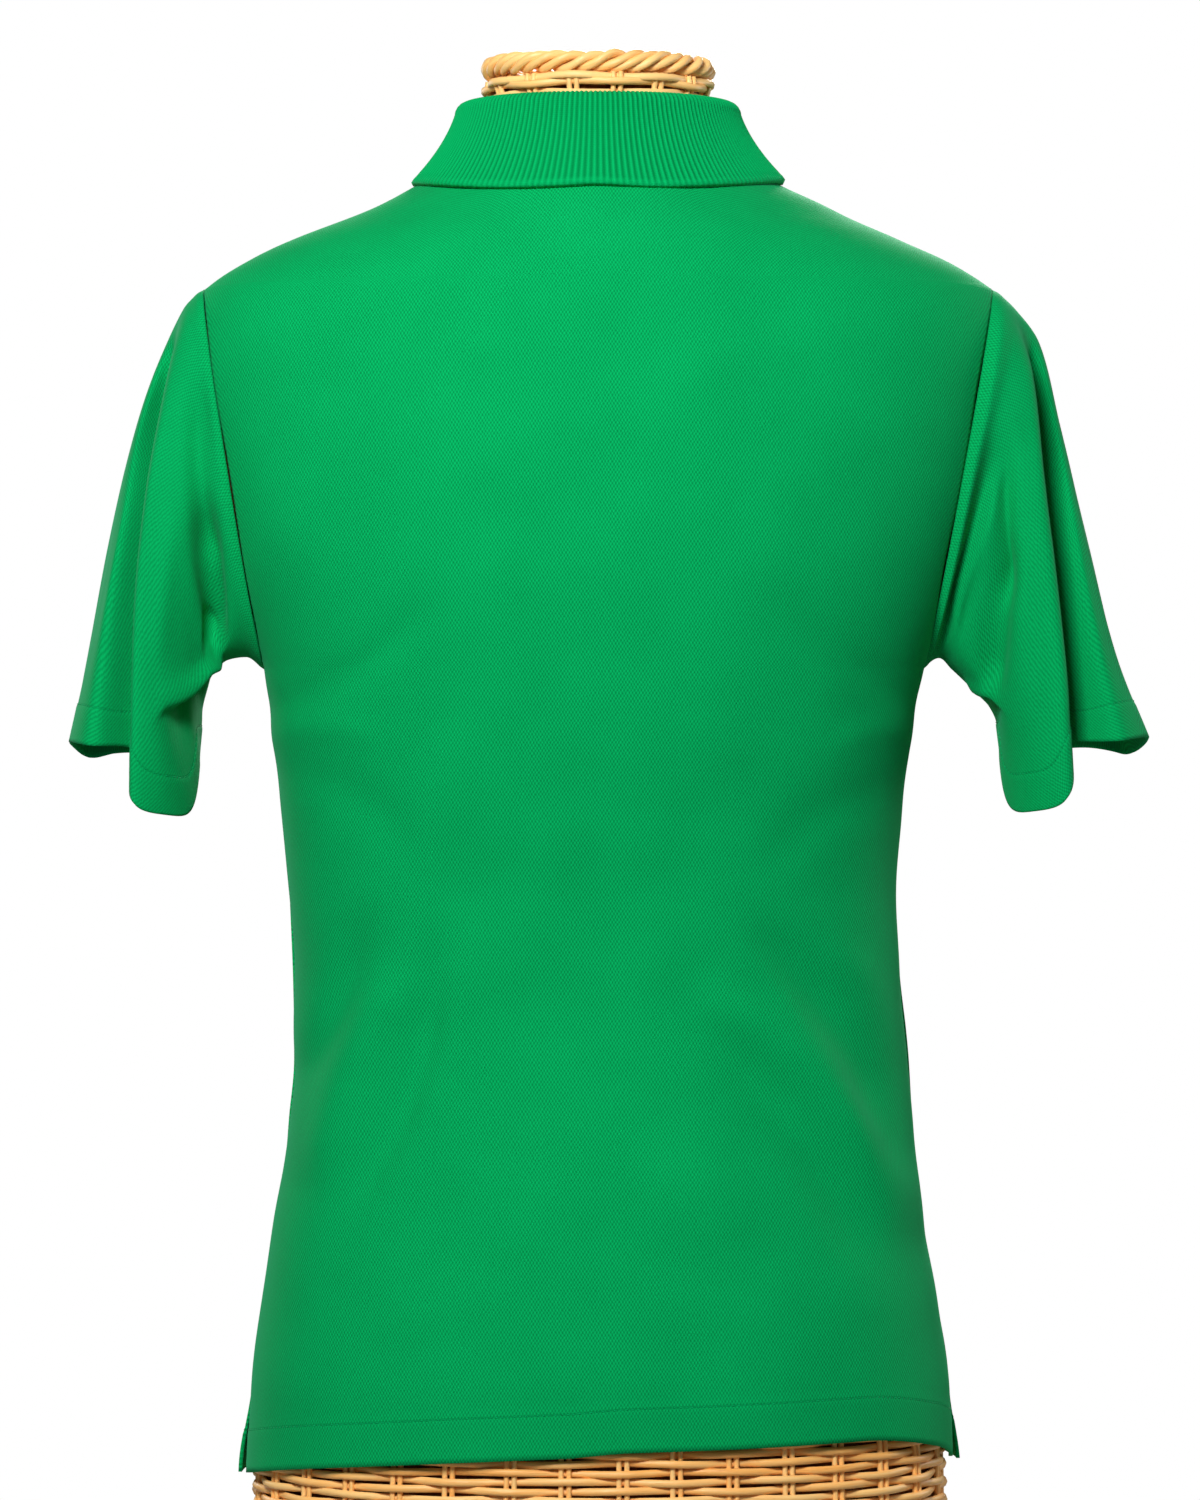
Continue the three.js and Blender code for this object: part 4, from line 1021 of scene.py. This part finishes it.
WEAVE_UNDER = 3.9  # the weave's middle lies this far under the form's surface
WEAVE_REACH = 2.1
WEAVE_SAMPLES = 8  # between two pairs of stakes
STRAND_OUT, STRAND_UP = 1.6, 2.35
STAKE = 1.55
STAKE_APART = 2.1
WEAVE_PITCH = 4.8
ROUND_SAMPLES = 721


# The last argument lifts every strand's tone: a little on the hips, and more on the neck and the rim as
# painted light where the lamps fall on the top of the form.
def make_weave(name, low, high, pairs, material, paler_and_painted_light=0):
    strands = Strands()
    rounds = int((high - low) / WEAVE_PITCH) + 1
    full = np.linspace(0, 2 * math.pi, ROUND_SAMPLES)
    run = steps_between(form_surface(np.full(ROUND_SAMPLES, (low + high) / 2), full), 0)

    def angle_at(place):
        """The pairs of stakes stand evenly round the form, so places go by the distance round it."""
        return np.interp(place / pairs * run[-1] % run[-1], run, full)

    place = np.arange(pairs * WEAVE_SAMPLES) / WEAVE_SAMPLES
    angle = angle_at(place)
    for k in range(rounds):
        z = low + (k + 0.5) * (high - low) / rounds + 0.5 * np.sin(place * 1.7 + k * 2.3)
        here, out, up = form_frame(z, angle)
        wave = np.cos(math.pi * (place + k)) * (0.9 + 0.1 * np.sin(place * 0.9 + k))
        middle = here + out * (-WEAVE_UNDER + WEAVE_REACH * wave)[:, None]
        high_half = STRAND_UP * (0.93 + 0.1 * uneven(k))
        strands.add(uneven(k * 3 + 1) + paler_and_painted_light, middle, out, up, STRAND_OUT, high_half)
    level = np.linspace(low, high, max(8, int((high - low) / 4)))
    for p in range(pairs):
        for hand in (-1, 1):
            apart = hand * STAKE_APART / run[-1] * pairs
            at = angle_at(p + apart + 0.12 * (uneven(p) - 0.5))
            here, out, up = form_frame(level, np.full(level.shape, at))
            shade = uneven(p * 5 + hand + 2) + paler_and_painted_light
            middle = here - out * WEAVE_UNDER
            strands.add(shade, middle, out, np.cross(out, up), STAKE, STAKE, closed=False)
    return strands.make(name, material)


ROPE_SAMPLES = 240


def make_rope(name, z, back_off, count, radius, strand, twist, material, lift=0.0, paler_and_painted_light=0):
    """A twisted border round the form at one height."""
    strands = Strands()
    angle = turns(ROPE_SAMPLES)
    here, out, _ = form_frame(np.full(ROPE_SAMPLES, float(z)), angle)
    out = unit(out * [1, 1, 0])
    up = np.broadcast_to(UP, out.shape)
    for s in range(count):
        turn = twist * angle + 2 * math.pi * s / count + 0.3 * np.sin(4 * angle + 1.9 * s)
        loose = radius * (1 + 0.14 * np.sin(7 * angle + 2.6 * s))
        middle = here + out * (loose * np.cos(turn) - back_off)[:, None]
        middle = middle + up * (loose * np.sin(turn) + lift + 0.5 * np.sin(3 * angle + 0.8))[:, None]
        strands.add(uneven(s * 7 + 3) + paler_and_painted_light, middle, out, up, strand, strand, sides=7)
    return strands.make(name, material)


CORE_UNDER = 8.2
CORE_BASE = 0.5
CORE_SIDES = 96
# Where the cloth covers the form, the core comes up close under it.
COVERED_FROM, COVERED_TO, COVERED_FADE = 165, 770, 20


def make_core(name, material):
    """The inside behind the weave, from the base to the top of the neck: a dark sheet that is painted
    shade of the hollow form.
    """
    levels = [0.6, 6, *np.linspace(20, NECK_FROM_Z, 60), 824, 836, 850, 858]
    z, angle = np.meshgrid(levels, turns(CORE_SIDES), indexing="ij")
    here, out, _ = form_frame(z, angle)
    hidden = smooth((z - COVERED_FROM) / COVERED_FADE) * (1 - smooth((z - COVERED_TO) / COVERED_FADE))
    points = here - out * mix(CORE_UNDER, 1.0, hidden)[..., None]
    points[..., 2] = np.maximum(points[..., 2], CORE_BASE)
    return new_object(name, points.reshape(-1, 3), ring_faces(*z.shape), material)


LID_Z = 861.0
LID_SECTION_Z = 864
LID_PAIRS, LID_SAMPLES = 14, 10
LID_ROUNDS = 10
LID_WAVE = 1.7
LID_STRAND_OUT, LID_STRAND_UP, LID_STAKE = 2.1, 1.5, 1.3
LID_STAKE_APART = 1.7


def make_top(name, material):
    """The woven lid inside the neck's border."""
    strands = Strands()
    wide, back, front = [float(c(LID_SECTION_Z)) for c in neck_curves]

    def spots(angle, share):
        deep = np.where(np.sin(angle) >= 0, back, front)
        x, y = wide * share * np.cos(angle), deep * share * np.sin(angle)
        return np.stack([x, y, np.full(x.shape, LID_Z)], -1)

    count = LID_PAIRS * LID_SAMPLES
    place = np.arange(count) / LID_SAMPLES
    up = np.broadcast_to(UP, (count, 3))
    for k, share in enumerate(np.linspace(0.08, 0.86, LID_ROUNDS)):
        middle = spots(turns(count), share)
        middle[:, 2] += LID_WAVE * np.cos(math.pi * (place + k))
        out = unit(middle * [1, 1, 0])
        strands.add(uneven(k * 3 + 2), middle, out, up, LID_STRAND_OUT, LID_STRAND_UP)
    share = np.linspace(0.05, 0.9, LID_ROUNDS)
    for p, angle in enumerate(turns(LID_PAIRS)):
        across = np.array([-math.sin(angle), math.cos(angle), 0])
        both = [np.broadcast_to(way, (LID_ROUNDS, 3)) for way in (across, UP)]
        for hand in (-1, 1):
            middle = spots(angle, share) + across * hand * LID_STAKE_APART
            strands.add(uneven(p * 5 + hand), middle, *both, LID_STAKE, LID_STAKE, closed=False)
    return strands.make(name, material)


# Materials
WHITE = (1, 1, 1, 1)
GREEN_DARK = (0.0008, 0.2, 0.05, 1)
GREEN_MID = (0.0012, 0.33, 0.088, 1)
GREEN_LIT = (0.002, 0.45, 0.122, 1)
GREEN_GLOSS = (0.05, 1, 0.5, 1)
STRAW_DARK = (0.58, 0.2, 0.035, 1)
STRAW_MID = (1.0, 0.46, 0.11, 1)
STRAW_PALE = (1.0, 0.62, 0.23, 1)
DOT_WIDE, DOT_HIGH = 1.8, 1.45
RIB_LOOP = 1.1
# Half the width of each sewn line, by the distance that is 0 on it. The pique is painted darker along
# these lines, as painted shade in the sunken seams and hems.
STITCHED = {"from_hem": 1.1, "from_seam": 1.0, "from_top": 0.9}


class Nodes:
    """A node tree, with short ways to add nodes to it and link them."""

    def __init__(self, tree):
        self.nodes = tree.nodes
        self.links = tree.links

    def new(self, kind, linked=None, values=None, **settings):
        node = self.nodes.new("ShaderNode" + kind)
        for key, value in settings.items():
            setattr(node, key, value)
        for key, value in (values or {}).items():
            node.inputs[key].default_value = value
        for key, source in (linked or {}).items():
            self.links.new(source, node.inputs[key])
        return node

    def math(self, operation, *terms):
        node = self.new("Math", operation=operation)
        for socket, term in zip(node.inputs, terms):
            if isinstance(term, (int, float)):
                socket.default_value = term
            else:
                self.links.new(term, socket)
        return node.outputs[0]

    def noise(self, vector, scale, detail=3.0, roughness=0.5, output="Fac"):
        values = {"Scale": scale, "Detail": detail, "Roughness": roughness}
        return self.new("TexNoise", {"Vector": vector}, values).outputs[output]

    def seen(self, bright, dim):
        """One value for the picture and another for the light that falls on the part."""
        is_seen = self.new("LightPath").outputs["Is Camera Ray"]
        return self.math("MULTIPLY_ADD", is_seen, bright - dim, dim)


class Shading(Nodes):
    """A material with its one shader."""

    def __init__(self, name, roughness, specular, sheen=0.0, sheen_tint=WHITE, specular_tint=WHITE):
        self.material = bpy.data.materials.new(name)
        self.material.use_nodes = True
        super().__init__(self.material.node_tree)
        self.shader = self.nodes["Principled BSDF"]
        for key, value in (
            ("Roughness", roughness),
            ("Specular IOR Level", specular),
            ("Sheen Weight", sheen),
            ("Sheen Roughness", 0.5),
            ("Sheen Tint", sheen_tint),
            ("Specular Tint", specular_tint),
        ):
            self.shader.inputs[key].default_value = value

    def cloth(self):
        """Places on the piece, in millimetres along and across it."""
        return self.new("UVMap", uv_map="cloth").outputs[0]

    def place(self):
        return self.new("TexCoord").outputs["Object"]

    def attribute(self, name):
        return self.new("Attribute", attribute_name=name).outputs["Fac"]

    def split(self, vector):
        return self.new("SeparateXYZ", {0: vector}).outputs[:2]

    def stretched(self, vector, *scale):
        return self.new("Mapping", {0: vector}, {"Scale": scale}).outputs[0]

    def wave(self, run, length):
        return self.math("COSINE", self.math("MULTIPLY", run, 2 * math.pi / length))

    def colour(self, level, *stops):
        node = self.new("ValToRGB", {0: level})
        elements = node.color_ramp.elements
        while len(elements) < len(stops):
            elements.new(0.5)
        for element, (place, colour) in zip(elements, stops):
            element.position = place
            element.color = colour
        self.links.new(node.outputs[0], self.shader.inputs["Base Color"])
        return node.outputs[0]

    def bump(self, height, strength, distance):
        values = {"Strength": strength, "Distance": distance}
        node = self.new("Bump", {"Height": height}, values)
        self.links.new(node.outputs["Normal"], self.shader.inputs["Normal"])


def pique_material():
    look = Shading("pique", 0.86, 0.15, 0.12, (0.1, 1, 0.5, 1), (0.05, 1, 0.4, 1))
    cloth = look.cloth()
    # The loops lie a little out of line, as in a real knit.
    push = look.noise(cloth, 0.32, 2.0, output="Color")
    loops = look.new("VectorMath", {0: push, 2: cloth}, {1: (1.1, 1.1, 0)}, operation="MULTIPLY_ADD")
    across, up = look.split(loops.outputs[0])
    dots = look.math("MULTIPLY", look.wave(across, DOT_WIDE), look.wave(up, 2 * DOT_HIGH))
    dots = look.math("MULTIPLY_ADD", dots, 0.5, 0.5)
    fuzz = look.math("MULTIPLY_ADD", look.noise(cloth, 0.9, 4.0, 0.6), 0.45, -0.22)
    cloudy = look.math("MULTIPLY_ADD", look.noise(cloth, 0.02, 2.0), 0.25, -0.12)
    groove = 1
    for name, half in STITCHED.items():
        off = look.math("ABSOLUTE", look.attribute(name))
        values = {"From Min": 0.0, "From Max": half}
        one = look.new("MapRange", {"Value": off}, values, interpolation_type="SMOOTHSTEP")
        groove = look.math("MINIMUM", one.outputs[0], groove)
    level = look.math("ADD", fuzz, dots)
    tone = look.math("ADD", level, cloudy)
    # Painted shade: the colour is darkened along the sewn lines, where the cloth sinks in.
    tone = look.math("MULTIPLY", tone, look.math("MULTIPLY_ADD", groove, 0.5, 0.5))
    look.colour(tone, (0.0, GREEN_DARK), (1.0, GREEN_LIT))
    look.bump(look.math("MULTIPLY_ADD", groove, 2.0, level), 0.25, 0.0004)
    return look.material


def rib_material():
    look = Shading("rib", 0.88, 0.15, 0.08, GREEN_GLOSS, GREEN_GLOSS)
    cloth = look.cloth()
    loops = look.wave(look.split(cloth)[1], RIB_LOOP)
    level = look.math("MULTIPLY_ADD", loops, 0.08, -0.06)
    level = look.math("MULTIPLY_ADD", look.noise(cloth, 1.1, 4.0, 0.6), 0.3, level)
    # The rib attribute darkens the troughs between the ribs and the groove above the welt: painted shade.
    level = look.math("MULTIPLY_ADD", look.attribute("rib"), 0.75, level)
    look.colour(level, (0.1, GREEN_DARK), (0.55, GREEN_MID), (1.0, GREEN_LIT))
    look.bump(level, 0.35, 0.0003)
    return look.material


def thread_material():
    look = Shading("thread", 0.6, 0.2, 0.0, GREEN_GLOSS, GREEN_GLOSS)
    twist = look.noise(look.place(), 1800.0, 2.0)
    look.colour(twist, (0.2, (0.001, 0.27, 0.08, 1)), (0.8, (0.003, 0.45, 0.15, 1)))
    return look.material


def button_material():
    look = Shading("button", 0.28, 0.5)
    swirl = look.noise(look.place(), 160.0)
    look.colour(swirl, (0.25, (0.002, 0.25, 0.08, 1)), (0.8, (0.006, 0.4, 0.14, 1)))
    look.bump(swirl, 0.08, 0.0005)
    return look.material


def wicker_material():
    look = Shading("wicker", 0.42, 0.4)
    cloth = look.cloth()
    grain = look.noise(look.stretched(cloth, 0.035, 1.1, 1.0), 1.0, 5.0, 0.6)
    streak = look.noise(look.stretched(cloth, 0.12, 3.0, 1.0), 1.0, 3.0, 0.6)
    # The shade attribute holds each strand's random tone, plus painted light on the neck and the rim.
    level = look.math("MULTIPLY_ADD", look.attribute("shade"), 0.3, -0.15)
    level = look.math("ADD", level, grain)
    level = look.math("MULTIPLY_ADD", streak, 0.35, level)
    look.colour(level, (0.25, STRAW_DARK), (0.55, STRAW_MID), (0.95, STRAW_PALE))
    look.bump(streak, 0.35, 0.0006)
    return look.material


def core_material():
    # Painted shade: the core's dark brown stands for the shade inside the hollow weave.
    look = Shading("wicker_painted_shade", 0.8, 0.1)
    grain = look.noise(look.place(), 240.0, 4.0)
    look.colour(grain, (0.3, (0.09, 0.032, 0.01, 1)), (0.75, (0.26, 0.1, 0.032, 1)))
    look.bump(grain, 0.5, 0.001)
    return look.material


# Stage
SKY = 1.0  # as bright as the backdrop looks
SKY_LIGHT = 0.12  # as bright as it lights the part
FLOOR_LIGHT = 0.3  # the share of the floor's brightness that lights the part
FLOOR_FROM, FLOOR_TO = 0.3, 0.75  # metres out, where the floor turns into the sky
FLOOR_RADIUS = 12000
# Lamps: name, place and size in metres, power, and the place they aim at.
LAMPS = (
    ("key", (0.4, 1.75, 1.5), 0.6, 46, (0, 0, 0.68)),
    ("side", (1.3, -1.5, 0.9), 0.9, 11, (0, 0, 0.4)),
    ("side", (-1.8, -0.8, 0.9), 0.9, 12, (0, 0, 0.5)),
    ("front_key", (-0.3, -1.9, 1.6), 0.7, 50, (0, 0, 0.66)),
)


def floor_material():
    look = Shading("floor", 0.9, 0.1)
    place = look.place()
    grain = look.noise(place, 1.2, 2.0)
    colour = look.colour(grain, (0.0, (0.86, 0.86, 0.86, 1)), (1.0, (0.9, 0.9, 0.9, 1)))
    dimmed = look.new("HueSaturation", {"Color": colour, "Value": look.seen(1, FLOOR_LIGHT)})
    look.links.new(dimmed.outputs[0], look.shader.inputs["Base Color"])
    # Far out the floor is as bright as the sky, so that no line shows where it ends.
    distance = look.new("VectorMath", {0: place}, operation="LENGTH").outputs["Value"]
    values = {"From Min": FLOOR_FROM, "From Max": FLOOR_TO}
    far = look.new("MapRange", {"Value": distance}, values, interpolation_type="SMOOTHSTEP")
    glow = look.new("Emission", {"Strength": look.seen(SKY, SKY_LIGHT)})
    shaders = {0: far.outputs[0], 1: look.shader.outputs[0], 2: glow.outputs[0]}
    blend = look.new("MixShader", shaders)
    look.links.new(blend.outputs[0], look.nodes["Material Output"].inputs["Surface"])
    return look.material


def make_stage():
    world = bpy.data.worlds.new("sky")
    world.use_nodes = True
    sky = Nodes(world.node_tree)
    background = sky.nodes["Background"]
    background.inputs[0].default_value = WHITE
    sky.links.new(sky.seen(SKY, SKY_LIGHT), background.inputs[1])
    bpy.context.scene.world = world
    angle = turns(64)
    points = FLOOR_RADIUS * np.stack([np.cos(angle), np.sin(angle), 0 * angle], -1)
    floor = new_object("floor", points, [range(len(angle))], floor_material(), False)
    for name, place, size, power_w, aim in LAMPS:
        data = bpy.data.lights.new(name, "AREA")
        data.size = size
        data.energy = power_w
        lamp = bpy.data.objects.new(name, data)
        lamp.location = place
        lamp.rotation_euler = (Vector(aim) - Vector(place)).to_track_quat("-Z", "Y").to_euler()
        bpy.context.collection.objects.link(lamp)
    bpy.context.scene.view_settings.view_transform = "Standard"
    bpy.context.scene.view_settings.look = "None"


# Buttons
BUTTON_THICK = 2.6
BUTTON_SIDES = 48
# A button's outline: radius and height.
BUTTON_OUTLINE = [
    (0.001, 0),
    (5.0, 0),
    (5.45, 0.25),
    (5.6, 0.7),
    (5.6, 1.9),
    (5.4, 2.35),
    (4.9, 2.6),
    (4.2, 2.6),
    (3.7, 2.4),
    (3.2, 1.95),
    (2.6, 1.85),
    (0.001, 1.85),
]
HOLE_RADIUS, HOLE_OFF = 0.75, 1.25  # its four holes lie this far off the middle each way
THREAD_PATH = [(-1.25, -0.6), (-1.2, 0.75), (-0.6, 0.98), (0.6, 0.98), (1.2, 0.75), (1.25, -0.6)]


def make_button(name, node, material):
    low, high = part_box(node)
    middle = (Vector(low) + Vector(high)) / 2 / MM
    z = middle.z
    behind = [float(depth_at(np.zeros(1), np.array([z + up]), -1)[0]) for up in (3, -3)]
    out = Vector((0, -6, behind[0] - behind[1])).normalized()
    turn = Vector((0, 0, 1)).rotation_difference(out)
    angle = turns(BUTTON_SIDES)
    rings = [
        np.stack([r * np.cos(angle), r * np.sin(angle), np.full(BUTTON_SIDES, h - BUTTON_THICK / 2)], -1)
        for r, h in BUTTON_OUTLINE
    ]
    faces = ring_faces(len(rings), BUTTON_SIDES)
    thing = new_object(name, np.concatenate(rings), faces, material)
    holes = []
    for side in (-1, 1):
        for end in (-1, 1):
            place = (side * HOLE_OFF * MM, end * HOLE_OFF * MM, 0)
            bpy.ops.mesh.primitive_cylinder_add(
                vertices=16, radius=HOLE_RADIUS * MM, depth=6 * MM, location=place
            )
            holes.append(bpy.context.active_object)
    for hole in holes:
        cut = thing.modifiers.new("hole", "BOOLEAN")
        cut.operation = "DIFFERENCE"
        cut.object = hole
        cut.solver = "EXACT"
    bpy.context.view_layer.update()
    evaluated = thing.evaluated_get(bpy.context.evaluated_depsgraph_get())
    mesh = bpy.data.meshes.new_from_object(evaluated)
    thing.modifiers.clear()
    thing.data = mesh
    for hole in holes:
        bpy.data.objects.remove(hole)
    mesh.transform(turn.to_matrix().to_4x4())
    mesh.transform(Matrix.Translation(middle * MM))
    mesh.update()
    return thing, middle, turn


def make_button_thread(name, middle, turn, material):
    """Two bars of thread through a button's four holes."""
    points, faces = [], []
    for side in (-1, 1):
        for strand in (-0.28, 0.28):
            faces += ring_faces(len(THREAD_PATH), 6, len(points))
            for y, h in THREAD_PATH:
                for a in turns(6):
                    x = side * HOLE_OFF + strand + 0.26 * math.cos(a)
                    points.append(middle + turn @ Vector((x, y, h + 0.22 * math.sin(a))))
    return new_object(name, np.array([tuple(p) for p in points]), faces, material)


def put(piece, slot, *replaced):
    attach(piece, "root")
    if replaced:
        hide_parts(*replaced)


make_camera()
make_stage()
pique = pique_material()
rib = rib_material()
thread = thread_material()
wicker = wicker_material()
wicker_painted_shade = core_material()
button = button_material()

back, back_good, back_up = make_panel("cloth_back", 1, pique)
front, front_good, front_up = make_panel("cloth_front", -1, pique)
put(back, "pique", "back")
put(front, "pique", "front")

lines = []
for side, good, up in ((1, back_good, back_up), (-1, front_good, front_up)):
    normals = grid_normals(good)
    normals = normals * np.sign(side * np.sum(normals[..., 1]))
    lines.append((at_distance(good, up, BODY_HEM), at_distance(normals, up, BODY_HEM)))
hem_stitches = make_stitches("stitches_hem", lines, thread)
put(hem_stitches, "pique")

for hand, *shape in (
    ("left", SLEEVE_LEFT, FOLDS_LEFT, MARKS_LEFT, LAPS_LEFT),
    ("right", SLEEVE_RIGHT, FOLDS_RIGHT, MARKS_RIGHT, LAPS_RIGHT),
):
    sleeve, good, long, normals = make_sleeve("cloth_sleeve_" + hand, *shape, pique)
    put(sleeve, "pique", "sleeve_" + hand)
    to_cuff = (long[-1:] - long)[::-1]
    path, out = [at_distance(grid[::-1], to_cuff, SLEEVE_HEM) for grid in (good, normals)]
    line = (np.concatenate([path, path[:1]]), np.concatenate([out, out[:1]]))
    stitches = make_stitches("stitches_sleeve_" + hand, [line], thread)
    put(stitches, "pique")

collar = make_collar("cloth_collar", rib)
put(collar, "rib", "collar")

over_half, under_half = PLACKET_HALF - SEAM, PLACKET_HALF + 4
over = make_strip("cloth_placket_over", over_half, PLACKET_RAISED, PLACKET_THICK, pique, True)
under = make_strip("cloth_placket_under", under_half, -CLOTH - SEAM, CLOTH, pique, False)
put(over, "pique", "placket_over")
put(under, "pique", "placket_under")

for number in (1, 2, 3):
    face, middle, turn = make_button(f"button_face_{number}", f"button_{number}", button)
    put(face, "button", f"button_{number}")
    bars = make_button_thread(f"button_thread_{number}", middle, turn, thread)
    put(bars, "button")

core = make_core("wicker_core", wicker_painted_shade)
put(core, "wicker", "form")
hips = make_weave("wicker_hips", 6, 168, 34, wicker, 0.3)
put(hips, "wicker")
# The neck and the rim are made paler than the hips: painted light on the top of the form.
neck = make_weave("wicker_neck", 786, 862, 14, wicker, 0.9)
put(neck, "wicker")
rim = make_rope("wicker_rim", 866, 4.6, 4, 3.6, 2.7, 9, wicker, 1.6, 0.8)
put(rim, "wicker")
foot = make_rope("wicker_foot", 5.5, 5.6, 3, 2.6, 2.4, 31, wicker)
put(foot, "wicker")
top = make_top("wicker_top", wicker)
put(top, "wicker")
